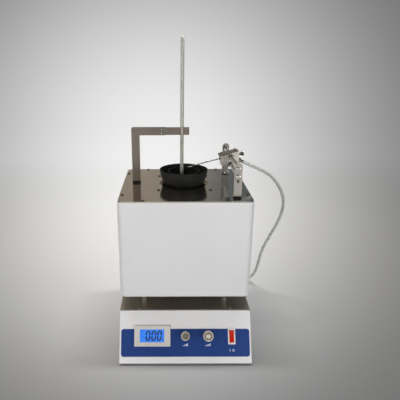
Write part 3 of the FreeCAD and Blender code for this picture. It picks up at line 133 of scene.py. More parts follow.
def place_camera():
    """Sets the camera where the photograph was taken from; returns its place and its three axes."""
    pitch, yaw, roll = (math.radians(angle) for angle in (PITCH, YAW, ROLL))
    level = math.cos(pitch)
    ahead = Vector((math.sin(yaw) * level, math.cos(yaw) * level, -math.sin(pitch)))
    right = Vector((math.cos(yaw), -math.sin(yaw), 0))
    up = right.cross(ahead)
    cosine, sine = math.cos(roll), math.sin(roll)
    right, up = right * cosine + up * sine, up * cosine - right * sine
    data = bpy.data.cameras.new("camera")
    data.sensor_width = SENSOR_WIDTH
    data.lens = SENSOR_WIDTH * LENS_PIXELS / FRAME_PIXELS
    data.shift_x = 0.5 - CENTRE_PIXEL[0] / FRAME_PIXELS
    data.shift_y = CENTRE_PIXEL[1] / FRAME_PIXELS - 0.5
    data.clip_end = 20.0
    camera = bpy.data.objects.new("camera", data)
    bpy.context.collection.objects.link(camera)
    turn = Matrix((right, up, -ahead)).transposed()
    camera.matrix_world = Matrix.Translation(CAMERA_AT) @ turn.to_4x4()
    bpy.context.scene.camera = camera
    return Vector(CAMERA_AT), right, up, ahead


def gas_hose(finish):
    """The silicone hose: one smooth spline of order 3 over its given points, from the fitting on the igniter
    down the right side and round to the outlet at the back, with a round section. It is made one fixed mesh;
    the real hose bends where the igniter slides."""
    data = bpy.data.curves.new("hose_route", "CURVE")
    data.dimensions = "3D"
    spline = data.splines.new("NURBS")
    spline.points.add(len(HOSE_POINTS) - 1)
    for point, at in zip(spline.points, HOSE_POINTS):
        point.co = (at[0] * MM, at[1] * MM, at[2] * MM, 1.0)
    spline.order_u = 3
    spline.use_endpoint_u = True
    spline.resolution_u = 10
    route = bpy.data.objects.new("hose_route", data)
    bpy.context.collection.objects.link(route)
    line = mesh_from(route)
    data.bevel_depth = HOSE_RADIUS
    data.bevel_resolution = 6
    data.use_fill_caps = True
    tube = mesh_from(route)
    tube.name = "silicone_hose"
    bpy.data.objects.remove(route)
    tube.shade_smooth()
    tube.materials.append(finish)
    hose = bpy.data.objects.new("silicone_hose", tube)
    bpy.context.collection.objects.link(hose)
    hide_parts("gas_hose")
    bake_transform(hose)


def mesh_from(piece):
    """The mesh of a curve as it stands."""
    bpy.context.view_layer.update()
    ready = piece.evaluated_get(bpy.context.evaluated_depsgraph_get())
    return bpy.data.meshes.new_from_object(ready)


def on_panel(points):
    """Panel places to places in space: the top edge's middle, plus x to the right, plus the second
    number down the slope, plus the third out of the panel."""
    given = np.asarray(points, dtype=float)
    across = np.zeros(given.shape[:-1] + (3,))
    across[..., 0] = given[..., 0]
    return PANEL_TOP + across + given[..., 1:2] * DOWN_SLOPE + given[..., 2:3] * OUT_OF_PANEL


def mesh_of(name, points, faces, body, finish, sharp=40.0):
    """A piece from points and faces: doubles are merged, normals made to face outwards, and edges
    sharper than the given angle stay crisp."""
    data = bpy.data.meshes.new(name)
    data.from_pydata(np.asarray(points).reshape(-1, 3).tolist(), [], faces)
    work = bmesh.new()
    work.from_mesh(data)
    bmesh.ops.remove_doubles(work, verts=work.verts, dist=1e-6)
    bmesh.ops.dissolve_degenerate(work, edges=work.edges, dist=1e-7)
    bmesh.ops.recalc_face_normals(work, faces=work.faces)
    work.to_mesh(data)
    work.free()
    data.shade_smooth()
    data.set_sharp_from_angle(angle=math.radians(sharp))
    piece = bpy.data.objects.new(name, data)
    bpy.context.collection.objects.link(piece)
    data.materials.append(finish)
    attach(piece, body)
    return piece


def grid_faces(rows, columns, round_columns):
    """Quads between neighbouring rows and columns; the last column meets the first where it goes round."""
    index = np.arange(rows * columns).reshape(rows, columns)
    if round_columns:
        index = np.concatenate([index, index[:, :1]], axis=1)
    quads = np.stack([index[:-1, :-1], index[:-1, 1:], index[1:, 1:], index[1:, :-1]], axis=-1)
    return quads.reshape(-1, 4).tolist()


def turned_points(rows, sectors, teeth, tooth_depth):
    """Rows of radius, height and toothed or not, carried round the axis: x is radius times cosine, y
    radius times sine, z the height. On the toothed rows the radius dips by a triangle wave, one dip for
    each tooth."""
    turn = np.arange(sectors) * (2 * math.pi / sectors)
    wave = np.abs((turn * teeth / (2 * math.pi)) % 1.0 - 0.5) * 2
    radius = np.repeat(rows[:, :1], sectors, axis=1) - rows[:, 2:] * tooth_depth * wave
    height = np.repeat(rows[:, 1:2], sectors, axis=1)
    return np.stack([radius * np.cos(turn), radius * np.sin(turn), height], axis=-1)


def slabs(outlines, low, high):
    """Flat shapes given a thickness: each outline's points at the low and at the high level, joined by
    side faces and closed by one face at each end."""
    points, faces = [], []
    for outline in outlines:
        count, start = len(outline), sum(len(done) for done in points)
        ring = np.arange(count)
        after = np.roll(ring, -1)
        points += [np.column_stack([outline, np.full(count, level)]) for level in (low, high)]
        faces += (np.stack([ring, after, after + count, ring + count], axis=-1) + start).tolist()
        faces += [(ring[::-1] + start).tolist(), (ring + count + start).tolist()]
    return np.concatenate(points), faces


def rounded_outline(width, height, corner):
    """A rectangle round the origin whose corners are quarter circles of six points."""
    turn = np.linspace(0, math.pi / 2, 6)
    quarter = np.column_stack([np.cos(turn), np.sin(turn)]) * corner
    middle = np.array([width / 2 - corner, height / 2 - corner])
    parts = []
    for k, side in enumerate(((1, 1), (-1, 1), (-1, -1), (1, -1))):
        cosine, sine = math.cos(k * math.pi / 2), math.sin(k * math.pi / 2)
        turned = quarter @ np.array([[cosine, sine], [-sine, cosine]])
        parts.append(turned + middle * side)
    return np.concatenate(parts)


def oblong(half_width, half_height):
    """The corners of a rectangle round the origin."""
    corners = [(-half_width, -half_height), (half_width, -half_height), (half_width, half_height),
               (-half_width, half_height)]
    return np.array(corners)


def colour(code):
    """An sRGB hex colour as the linear colour that shaders take."""
    parts = [int(code[k:k + 2], 16) / 255 for k in (1, 3, 5)]
    return tuple(c / 12.92 if c <= 0.04045 else ((c + 0.055) / 1.055) ** 2.4 for c in parts) + (1.0,)


def add(tree, kind, inputs=None, **settings):
    """Adds a node: settings are its own properties. Each input is set to the value it is given, or linked
    to the given socket, or to the first output in use of the given node."""
    made = tree.nodes.new(kind)
    for key, value in settings.items():
        setattr(made, key, value)
    for key, value in (inputs or {}).items():
        if isinstance(value, bpy.types.Node):
            value = next(output for output in value.outputs if output.enabled)
        if isinstance(value, bpy.types.NodeSocket):
            tree.links.new(value, made.inputs[key])
        else:
            made.inputs[key].default_value = value
    return made


def start_material(name):
    """An empty material, its node tree and the object's coordinates in metres."""
    made = bpy.data.materials.new(name)
    made.use_nodes = True
    made.node_tree.nodes.clear()
    tree = made.node_tree
    return made, tree, add(tree, "ShaderNodeTexCoord").outputs["Object"]


def finish_material(made, tree, shader):
    """Puts the shader on the material's output and gives the material back."""
    add(tree, "ShaderNodeOutputMaterial", {"Surface": shader})
    return made


def white_powder_coat():
    """Polyester powder coat, sprayed and baked: off-white, satin, with an orange peel of 2 mm waves."""
    made, tree, at = start_material("white_powder_coat")
    cloud = add(tree, "ShaderNodeTexNoise", {"Vector": at, "Scale": 9.0, "Detail": 2.0})
    tone = add(tree, "ShaderNodeMix", {0: cloud, 6: colour("#D8D8D9"), 7: colour("#E0E0E1")},
               data_type="RGBA")
    peel = add(tree, "ShaderNodeTexNoise", {"Vector": at, "Scale": 480.0, "Detail": 1.0})
    bump = add(tree, "ShaderNodeBump", {"Height": peel, "Strength": 0.12, "Distance": 0.0001})
    gloss = add(tree, "ShaderNodeMapRange", {0: cloud, 3: 0.36, 4: 0.46})
    shader = add(tree, "ShaderNodeBsdfPrincipled", {
        "Base Color": tone, "Roughness": gloss, "Normal": bump, "IOR": 1.5})
    return finish_material(made, tree, shader)


def rolled_sheet(name, left_tint_and_reflection, right_tint_and_reflection, rough, grain_scale):
    """Cold-rolled stainless sheet with a fine brushed grain. The grain is 0.1 mm apart on the real one and
    is drawn wider, so that it shows; its scale is small along the direction it runs in. Smudges of handling
    change its gloss. Its colour runs across X from the left tint to the right tint; where they differ, this
    lighter, warmer left and darker, cooler right is a painted reflection of the room."""
    made, tree, at = start_material(name)
    grain_at = add(tree, "ShaderNodeMapping", {"Vector": at, "Scale": grain_scale})
    grain = add(tree, "ShaderNodeTexNoise", {"Vector": grain_at, "Scale": 1.0, "Detail": 3.0})
    smudge = add(tree, "ShaderNodeTexNoise", {"Vector": at, "Scale": 22.0, "Detail": 3.0})
    # Painted reflection: the base colour ramps from the left tint to the right tint across X.
    place = add(tree, "ShaderNodeSeparateXYZ", {0: at})
    across = add(tree, "ShaderNodeMapRange", {0: place.outputs[0], 1: -0.10, 2: 0.12})
    base = add(tree, "ShaderNodeMix", {0: across, 6: colour(left_tint_and_reflection), 7: colour(right_tint_and_reflection)}, data_type="RGBA")
    tone = add(tree, "ShaderNodeMapRange", {0: grain, 1: 0.3, 2: 0.7, 3: 0.90, 4: 1.05})
    streaked = add(tree, "ShaderNodeVectorMath", {0: base, "Scale": tone}, operation="SCALE")
    gloss = add(tree, "ShaderNodeMapRange", {0: smudge, 1: 0.3, 2: 0.7, 3: rough, 4: rough + 0.07})
    bump = add(tree, "ShaderNodeBump", {"Height": grain, "Strength": 0.08, "Distance": 0.00005})
    shader = add(tree, "ShaderNodeBsdfPrincipled", {
        "Base Color": streaked, "Metallic": 1.0, "Roughness": gloss, "Normal": bump})
    return finish_material(made, tree, shader)


def bright_metal(name, tint, rough, speckle_scale, low=0.93, high=1.05):
    """Turned, drawn or plated metal: a tint that mottling or, with a scale that is small along one
    direction, drawing lines take from low to high, and a gloss that they break a little."""
    made, tree, at = start_material(name)
    spots_at = add(tree, "ShaderNodeMapping", {"Vector": at, "Scale": speckle_scale})
    spots = add(tree, "ShaderNodeTexNoise", {"Vector": spots_at, "Scale": 1.0, "Detail": 3.0})
    tone = add(tree, "ShaderNodeMapRange", {0: spots, 1: 0.35, 2: 0.65, 3: low, 4: high})
    tinted = add(tree, "ShaderNodeVectorMath", {0: colour(tint)[:3], "Scale": tone}, operation="SCALE")
    gloss = add(tree, "ShaderNodeMapRange", {0: spots, 1: 0.3, 2: 0.7, 3: rough * 0.8, 4: rough * 1.3})
    shader = add(tree, "ShaderNodeBsdfPrincipled", {
        "Base Color": tinted, "Metallic": 1.0, "Roughness": gloss})
    return finish_material(made, tree, shader)


def scaled_iron():
    """Pressed steel blackened by the burner and by burnt oil: matt, sooty, with patches of brown scale
    20 mm across and a grit of 0.6 mm."""
    made, tree, at = start_material("heat_blackened_steel")
    patch = add(tree, "ShaderNodeTexNoise", {"Vector": at, "Scale": 50.0, "Detail": 4.0})
    grit = add(tree, "ShaderNodeTexNoise", {"Vector": at, "Scale": 1600.0, "Detail": 2.0})
    worn = add(tree, "ShaderNodeMapRange", {0: patch, 1: 0.45, 2: 0.75})
    tone = add(tree, "ShaderNodeMix", {0: worn, 6: colour("#080908"), 7: colour("#141310")},
               data_type="RGBA")
    gloss = add(tree, "ShaderNodeMapRange", {0: patch, 1: 0.3, 2: 0.7, 3: 0.50, 4: 0.72})
    bump = add(tree, "ShaderNodeBump", {"Height": grit, "Strength": 0.35, "Distance": 0.0002})
    shader = add(tree, "ShaderNodeBsdfPrincipled", {
        "Base Color": tone, "Specular IOR Level": 0.35, "Roughness": gloss, "Normal": bump})
    return finish_material(made, tree, shader)


def moulded(name, tint, rough, texture):
    """Moulded plastic or rubber: one tint, slightly uneven, with a fine moulded grain of the texture's
    scale per metre."""
    made, tree, at = start_material(name)
    cloud = add(tree, "ShaderNodeTexNoise", {"Vector": at, "Scale": 60.0, "Detail": 2.0})
    tone = add(tree, "ShaderNodeMapRange", {0: cloud, 1: 0.3, 2: 0.7, 3: 0.93, 4: 1.04})
    tinted = add(tree, "ShaderNodeVectorMath", {0: colour(tint)[:3], "Scale": tone}, operation="SCALE")
    grain = add(tree, "ShaderNodeTexNoise", {"Vector": at, "Scale": texture, "Detail": 1.0})
    bump = add(tree, "ShaderNodeBump", {"Height": grain, "Strength": 0.25, "Distance": 0.00005})
    shader = add(tree, "ShaderNodeBsdfPrincipled", {
        "Base Color": tinted, "Roughness": rough, "Normal": bump, "IOR": 1.5})
    return finish_material(made, tree, shader)


def printed_film():
    """Polyester film printed blue on its back: even, satin, with the film's faint 1 mm ripple."""
    made, tree, at = start_material("printed_polyester_film")
    cloud = add(tree, "ShaderNodeTexNoise", {"Vector": at, "Scale": 14.0, "Detail": 1.0})
    tone = add(tree, "ShaderNodeMix", {0: cloud, 6: colour("#0F3474"), 7: colour("#163E84")},
               data_type="RGBA")
    ripple = add(tree, "ShaderNodeTexNoise", {"Vector": at, "Scale": 900.0, "Detail": 0.0})
    bump = add(tree, "ShaderNodeBump", {"Height": ripple, "Strength": 0.06, "Distance": 0.0001})
    shader = add(tree, "ShaderNodeBsdfPrincipled", {
        "Base Color": tone, "Roughness": 0.24, "Normal": bump, "IOR": 1.5})
    return finish_material(made, tree, shader)


def clear_glass(name, tint, rough, index, through):
    """Glass or acrylic: a pale tint, a share of the light goes through it, and faint draw lines along Z."""
    made, tree, at = start_material(name)
    long_at = add(tree, "ShaderNodeMapping", {"Vector": at, "Scale": (1500.0, 1500.0, 20.0)})
    lines = add(tree, "ShaderNodeTexNoise", {"Vector": long_at, "Scale": 1.0, "Detail": 1.0})
    bump = add(tree, "ShaderNodeBump", {"Height": lines, "Strength": 0.05, "Distance": 0.00005})
    shader = add(tree, "ShaderNodeBsdfPrincipled", {
        "Base Color": colour(tint), "Roughness": rough, "IOR": index, "Transmission Weight": through,
        "Normal": bump})
    return finish_material(made, tree, shader)


def milk_glass_scale():
    """The thermometer's milk-glass scale: cream, with a dark stroke every 2.5 mm from its left edge,
    longer every fifth. Each kind of stroke has its pitch in metres, its share of that pitch and how far
    it reaches beyond the middle."""
    made, tree, at = start_material("milk_glass_scale")
    place = add(tree, "ShaderNodeSeparateXYZ", {0: at})
    strokes = []
    for pitch, share, reach in ((0.0025, 0.16, 0.0009), (0.0125, 0.05, 0.0016)):
        step = add(tree, "ShaderNodeMath", {0: place.outputs[2], 1: 1 / pitch}, operation="MULTIPLY")
        part = add(tree, "ShaderNodeMath", {0: step}, operation="FRACT")
        line = add(tree, "ShaderNodeMath", {0: part, 1: share}, operation="LESS_THAN")
        side = add(tree, "ShaderNodeMath", {0: place.outputs[0], 1: SCALE_X + reach}, operation="LESS_THAN")
        strokes.append(add(tree, "ShaderNodeMath", {0: line, 1: side}, operation="MULTIPLY"))
    ink = add(tree, "ShaderNodeMath", {0: strokes[0], 1: strokes[1]}, operation="MAXIMUM")
    tone = add(tree, "ShaderNodeMix", {0: ink, 6: colour("#EDEDE2"), 7: colour("#3A3A38")}, data_type="RGBA")
    shader = add(tree, "ShaderNodeBsdfPrincipled", {"Base Color": tone, "Roughness": 0.45, "IOR": 1.5})
    return finish_material(made, tree, shader)


def silicone():
    """Extruded silicone rubber: milky and half clear, so that its edges gather shade, with a soft gloss
    that a little dust breaks."""
    made, tree, at = start_material("silicone_rubber")
    dust = add(tree, "ShaderNodeTexNoise", {"Vector": at, "Scale": 300.0, "Detail": 3.0})
    tone = add(tree, "ShaderNodeMix", {0: dust, 6: colour("#C9CBC6"), 7: colour("#D6D8D4")},
               data_type="RGBA")
    gloss = add(tree, "ShaderNodeMapRange", {0: dust, 1: 0.3, 2: 0.7, 3: 0.22, 4: 0.38})
    shader = add(tree, "ShaderNodeBsdfPrincipled", {
        "Base Color": tone, "Roughness": gloss, "IOR": 1.41, "Transmission Weight": 0.55})
    return finish_material(made, tree, shader)


def lit(name, base, tint, strength, edge_tint):
    """A backlit surface: over its base colour the tint glows, a little unevenly, towards the edge tint
    in soft patches."""
    made, tree, at = start_material(name)
    cloud = add(tree, "ShaderNodeTexNoise", {"Vector": at, "Scale": 45.0, "Detail": 1.0})
    tone = add(tree, "ShaderNodeMix", {0: cloud, 6: colour(tint), 7: colour(edge_tint)}, data_type="RGBA")
    shader = add(tree, "ShaderNodeBsdfPrincipled", {
        "Base Color": colour(base), "Roughness": 0.18, "Specular IOR Level": 0.3, "Emission Color": tone,
        "Emission Strength": strength})
    return finish_material(made, tree, shader)


def fired_ceramic():
    """Cast refractory: buff, dry and porous, with pits of 1 mm and brown from heat in patches."""
    made, tree, at = start_material("fired_refractory")
    patch = add(tree, "ShaderNodeTexNoise", {"Vector": at, "Scale": 35.0, "Detail": 4.0})
    pits = add(tree, "ShaderNodeTexVoronoi", {"Vector": at, "Scale": 900.0})
    tone = add(tree, "ShaderNodeMix", {0: patch, 6: colour("#B8A88C"), 7: colour("#7D6650")},
               data_type="RGBA")
    bump = add(tree, "ShaderNodeBump", {"Height": pits, "Strength": 0.4, "Distance": 0.0003})
    shader = add(tree, "ShaderNodeBsdfPrincipled", {
        "Base Color": tone, "Roughness": 0.85, "Normal": bump})
    return finish_material(made, tree, shader)


def circuit_board():
    """Glass-fibre board under green lacquer, with tracks drawn as thin lighter lines 4 mm apart."""
    made, tree, at = start_material("lacquered_circuit_board")
    tracks = add(tree, "ShaderNodeTexBrick", {
        "Vector": at, "Scale": 60.0, "Color1": colour("#1B5233"), "Color2": colour("#194A30"),
        "Mortar": colour("#3C7A52"), "Mortar Size": 0.02})
    shader = add(tree, "ShaderNodeBsdfPrincipled", {"Base Color": tracks, "Roughness": 0.4})
    return finish_material(made, tree, shader)


def ceramic_wool():
    """Needled ceramic wool: off-white, matt, with tangled fibres drawn 1 mm wide."""
    made, tree, at = start_material("ceramic_wool")
    fibre = add(tree, "ShaderNodeTexNoise", {"Vector": at, "Scale": 420.0, "Detail": 5.0, "Distortion": 1.5})
    tone = add(tree, "ShaderNodeMix", {0: fibre, 6: colour("#C9C3B4"), 7: colour("#F1EEE4")},
               data_type="RGBA")
    bump = add(tree, "ShaderNodeBump", {"Height": fibre, "Strength": 0.8, "Distance": 0.0006})
    shader = add(tree, "ShaderNodeBsdfPrincipled", {
        "Base Color": tone, "Roughness": 0.95, "Normal": bump, "Sheen Weight": 0.2})
    return finish_material(made, tree, shader)


def control_knob(name, node, body, x, radius, height, bossed, finish, hollow_shade_finish):
    """A turned knob with a straight knurl round its side, a bright bevelled rim and a hollow face; the gas
    knob has a raised boss in the hollow. The floor of the hollow takes a darker copy of the aluminium, a
    painted shade in the recess. Its bore is the one that the shaft takes. Each row of the profile is a
    radius, a height and whether the row is toothed, in millimetres."""
    hollow, boss, floor = radius * HOLLOW_SHARE, radius * BOSS_SHARE, height - HOLLOW_DEPTH
    rows = [(0, SHAFT_END, 0), (SHAFT_BORE, SHAFT_END, 0), (SHAFT_BORE, NUT_ROOM, 0),
            (NUT_BORE, NUT_ROOM, 0), (NUT_BORE, 0, 0), (radius - 0.6, 0, 0), (radius - 0.2, 0.4, 0),
            (radius, 0.8, 1), (radius, height - 2.2, 1), (radius - 0.1, height - 1.8, 0),
            (radius - 0.25, height - 0.6, 0), (radius - 0.8, height, 0), (hollow + 0.4, height, 0),
            (hollow, height - 0.4, 0), (hollow, floor, 0)]
    if bossed:
        rows += [(boss + 0.6, floor, 0), (boss, height - 1.3, 0), (boss - 0.7, height - 0.8, 0),
                 (0, height - 0.7, 0)]
    else:
        rows += [(hollow * 0.5, floor, 0), (0, floor, 0)]
    spun = turned_points(np.array(rows, dtype=float), KNOB_SECTORS, KNOB_TEETH, TOOTH_DEPTH)
    spun[..., 2] += KNOB_LIFT
    spun *= MM
    place = np.stack([spun[..., 0] + x * MM, -spun[..., 1] + CONTROL_DROP * MM, spun[..., 2]], axis=-1)
    faces = grid_faces(len(rows), KNOB_SECTORS, True)
    piece = mesh_of(name, on_panel(place), faces, body, finish, sharp=28.0)
    piece.data.materials.append(hollow_shade_finish)
    # Painted shade: the faces on the floor of the hollow take the darker second finish.
    centre = on_panel((x * MM, CONTROL_DROP * MM, 0.0))
    middles = np.array([face.center for face in piece.data.polygons]) - centre
    lift = middles @ OUT_OF_PANEL
    spread = np.linalg.norm(middles - lift[:, None] * OUT_OF_PANEL, axis=1)
    low, high = (floor + KNOB_LIFT - 0.3) * MM, (floor + KNOB_LIFT + 0.1) * MM
    in_hollow_shade = (lift > low) & (lift < high) & (spread < hollow * MM)
    piece.data.polygons.foreach_set("material_index", in_hollow_shade.astype(np.int32))
    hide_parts(node)
    return piece


def zero_strokes(x):
    """The six strokes of a seven-part display's zero whose middle is at x. Each is a six-sided bar along
    its line, with pointed ends that stop short of the line's, and the whole digit leans to the right."""
    wide, tall = (DIGIT_WIDTH - STROKE) / 2, (DIGIT_HEIGHT - STROKE) / 2
    lines = [((-wide, -tall), (wide, -tall)), ((wide, -tall), (wide, 0)), ((wide, 0), (wide, tall)),
             ((-wide, tall), (wide, tall)), ((-wide, 0), (-wide, tall)), ((-wide, -tall), (-wide, 0))]
    strokes = []
    for ends in lines:
        start, end = np.array(ends, dtype=float)
        along = (end - start) / np.linalg.norm(end - start)
        side = np.array([-along[1], along[0]]) * STROKE / 2
        tip = along * STROKE / 2
        start = start + along * STROKE_GAP
        end = end - along * STROKE_GAP
        ring = np.array([start, start + tip + side, end - tip + side, end, end - tip - side,
                         start + tip - side])
        leaning = ring[:, 0] - ring[:, 1] * DIGIT_SLANT + x
        strokes.append(np.column_stack([leaning, ring[:, 1] + METER_DROP]) * MM)
    return strokes


def meter_face(glow, ink, pane):
    """The voltmeter's lit display, its three digits, decimal point and minus sign, and the pane over
    them: flat outlines given a thickness."""
    pane_outline = rounded_outline(PANE_WIDTH * MM, PANE_HEIGHT * MM, PANE_CORNER * MM)
    pane_outline = pane_outline + np.array([METER_X, METER_DROP]) * MM
    points, faces = slabs([pane_outline], GLOW_LOW * MM, INK_LOW * MM)
    mesh_of("display_glow", on_panel(points), faces, "root", glow)
    outlines = []
    for x in DIGITS_X:
        outlines += zero_strokes(x)
    outlines.append((oblong(*POINT_HALF_SIZE) + np.array(POINT_AT)) * MM)
    outlines.append((oblong(*MINUS_HALF_SIZE) + np.array(MINUS_AT)) * MM)
    points, faces = slabs(outlines, INK_LOW * MM, INK_HIGH * MM)
    mesh_of("display_digits", on_panel(points), faces, "root", ink)
    points, faces = slabs([pane_outline], PANE_LOW * MM, PANE_HIGH * MM)
    cover = mesh_of("display_pane", on_panel(points), faces, "root", pane)
    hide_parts("meter_window")


def panel_marks(white):
    """Generic white marks printed under the controls: rising bars under both knobs, and the line and
    ring of a power switch. The ring is made of 24 four-sided pieces between two circles."""
    outlines = []
    for x in (HEATER_KNOB_X, GAS_KNOB_X):
        for k in range(BAR_COUNT):
            tall = SHORTEST_BAR + BAR_RISE * k
            bar = np.array([(-BAR_HALF_WIDTH, -tall), (BAR_HALF_WIDTH, -tall), (BAR_HALF_WIDTH, 0),
                            (-BAR_HALF_WIDTH, 0)])
            middle = x + (k - (BAR_COUNT - 1) / 2) * BAR_PITCH
            outlines.append((bar + np.array([middle, BARS_DROP])) * MM)
    outlines.append((oblong(*LINE_HALF_SIZE) + np.array([LINE_X, SWITCH_MARKS_DROP])) * MM)
    turn = np.linspace(0, 2 * math.pi, 25)[:-1]
    round_points = np.column_stack([np.cos(turn), np.sin(turn)])
    outer, inner = (round_points * r + np.array([RING_X, SWITCH_MARKS_DROP]) for r in RING_RADII)
    ring = np.stack([outer, np.roll(outer, 1, axis=0), np.roll(inner, 1, axis=0), inner], axis=1) * MM
    points, faces = slabs(outlines + list(ring), PRINT_LOW * MM, PRINT_HIGH * MM)
    mesh_of("panel_marks", on_panel(points), faces, "root", white)


def smooth(share):
    """A share of 0 to 1 that leaves 0 and reaches 1 gently."""
    return share * share * (3 - 2 * share)


def stage_surface(eye, right, up, ahead):
    """The floor and backdrop in one sweep: the row runs along the floor, turns up through a quarter circle
    and climbs the wall; the column runs across. Each point holds a grey that is a painted pool of light: it
    falls off with a cosine of its distance in the picture from the lightest place behind the instrument, and
    rises to a pale apron on the floor between the instrument and the camera, which fades by half towards the
    sweep's front edge. It also holds how far the paper glows, which is little round the instrument and more
    towards the wall, where the lamps are far off."""
    floor_start, floor_end, bend, wall_top, half_width = -2.6, 3.2, 0.8, 1.2, 4.5
    turn = np.linspace(0, math.pi / 2, 24)[1:]
    floor = np.column_stack([np.linspace(floor_start, floor_end, 120), np.zeros(120)])
    curve = np.column_stack([floor_end + bend * np.sin(turn), bend * (1 - np.cos(turn))])
    wall = np.column_stack([np.full(12, floor_end + bend), np.linspace(bend, wall_top, 13)[1:]])
    path = np.concatenate([floor, curve, wall])
    across = np.linspace(-half_width, half_width, 151)
    points = np.zeros((len(path), len(across), 3))
    points[..., 0] = across
    points[..., 1:] = path[:, None, :]
    offset = points - np.array(eye)
    depth = np.maximum(offset @ np.array(ahead), 0.05)
    pixel_x = CENTRE_PIXEL[0] + LENS_PIXELS * (offset @ np.array(right)) / depth
    pixel_y = CENTRE_PIXEL[1] - LENS_PIXELS * (offset @ np.array(up)) / depth
    # Painted pool of light: the grey falls off with the distance in the picture from the lightest place.
    away = np.hypot(pixel_x - LIGHTEST_PIXEL[0], pixel_y - LIGHTEST_PIXEL[1])
    turn = np.minimum(away, FALL_OFF_PIXELS) * math.pi / FALL_OFF_PIXELS
    grey = (DIM_GREY + GREY_RISE * (0.5 + 0.5 * np.cos(turn))) / 255
    back = points[..., 1]
    apron = np.clip((APRON_START - back) / APRON_RISE, 0, 1)
    apron = apron * np.clip((back - APRON_END) / APRON_FADE, 0.5, 1)
    grey = grey + (APRON_GREY - grey) * smooth(apron)
    data = bpy.data.meshes.new("studio_sweep")
    data.from_pydata(points.reshape(-1, 3).tolist(), [], grid_faces(len(path), len(across), False))
    data.shade_smooth()
    far = smooth(np.clip((back - GLOW_START) / GLOW_RISE, 0, 1))
    held = {"studio_grey_painted_light": ((grey + 0.055) / 1.055) ** 2.4,
            "studio_glow": STAGE_GLOW + (WALL_GLOW - STAGE_GLOW) * far}
    for name, values in held.items():
        data.attributes.new(name, "FLOAT", "POINT").data.foreach_set("value", values.ravel())
    sweep = bpy.data.objects.new("studio_sweep", data)
    bpy.context.collection.objects.link(sweep)
    made, tree, _ = start_material("studio_paper")
    grey_at = add(tree, "ShaderNodeAttribute", attribute_name="studio_grey_painted_light")
    paper = add(tree, "ShaderNodeBsdfDiffuse", {"Color": grey_at.outputs["Color"]})
    glow = add(tree, "ShaderNodeEmission", {"Color": grey_at.outputs["Color"], "Strength": 1.0})
    glow_at = add(tree, "ShaderNodeAttribute", attribute_name="studio_glow")
    shader = add(tree, "ShaderNodeMixShader", {0: glow_at.outputs["Fac"], 1: paper, 2: glow})
    data.materials.append(finish_material(made, tree, shader))


def area_light(name, at, aim, wide, deep, power):
    """A soft box of a width and a depth at a place, facing its aim."""
    data = bpy.data.lights.new(name, "AREA")
    data.shape = "RECTANGLE"
    data.size = wide
    data.size_y = deep
    data.energy = power
    lamp = bpy.data.objects.new(name, data)
    bpy.context.collection.objects.link(lamp)
    lamp.location = at
    lamp.rotation_euler = (Vector(aim) - Vector(at)).to_track_quat("-Z", "Y").to_euler()


def light_the_scene():
    """Soft studio light: a room that is pale at the horizon and dim above, warmer and lighter on the
    left, a strip box overhead that stands a little behind the instrument, and two low soft boxes in
    front."""
    world = bpy.data.worlds.new("studio")
    bpy.context.scene.world = world
    world.use_nodes = True
    tree = world.node_tree
    back = tree.nodes["Background"]
    sky = add(tree, "ShaderNodeTexCoord")
    way = add(tree, "ShaderNodeSeparateXYZ", {0: sky.outputs["Generated"]})
    level = add(tree, "ShaderNodeMapRange", {0: way.outputs[2], 1: 0.10, 2: 0.22, 3: 0.0, 4: 1.0},
                interpolation_type="SMOOTHSTEP")
    aside = add(tree, "ShaderNodeMapRange", {0: way.outputs[0], 1: 0.02, 2: 0.17},
                interpolation_type="SMOOTHSTEP")
    dim = add(tree, "ShaderNodeMix", {0: aside, 6: colour(ROOM_LEFT), 7: colour(ROOM_RIGHT)},
              data_type="RGBA")
    room = add(tree, "ShaderNodeMix", {0: level, 6: colour(ROOM_LOW), 7: dim}, data_type="RGBA")
    back.inputs[1].default_value = 1.0
    tree.links.new(room.outputs[2], back.inputs[0])
    area_light("strip_box_above", at=(0.0, 0.32, 2.4), aim=(0, 0.25, 0), wide=1.5, deep=0.16, power=47.0)
    area_light("soft_box_right", at=(1.3, -1.8, 0.45), aim=(0, 0, 0.22), wide=1.2, deep=0.7, power=17.5)
    area_light("soft_box_left", at=(-1.4, -1.6, 0.42), aim=(0, 0, 0.24), wide=1.2, deep=0.7, power=14.5)


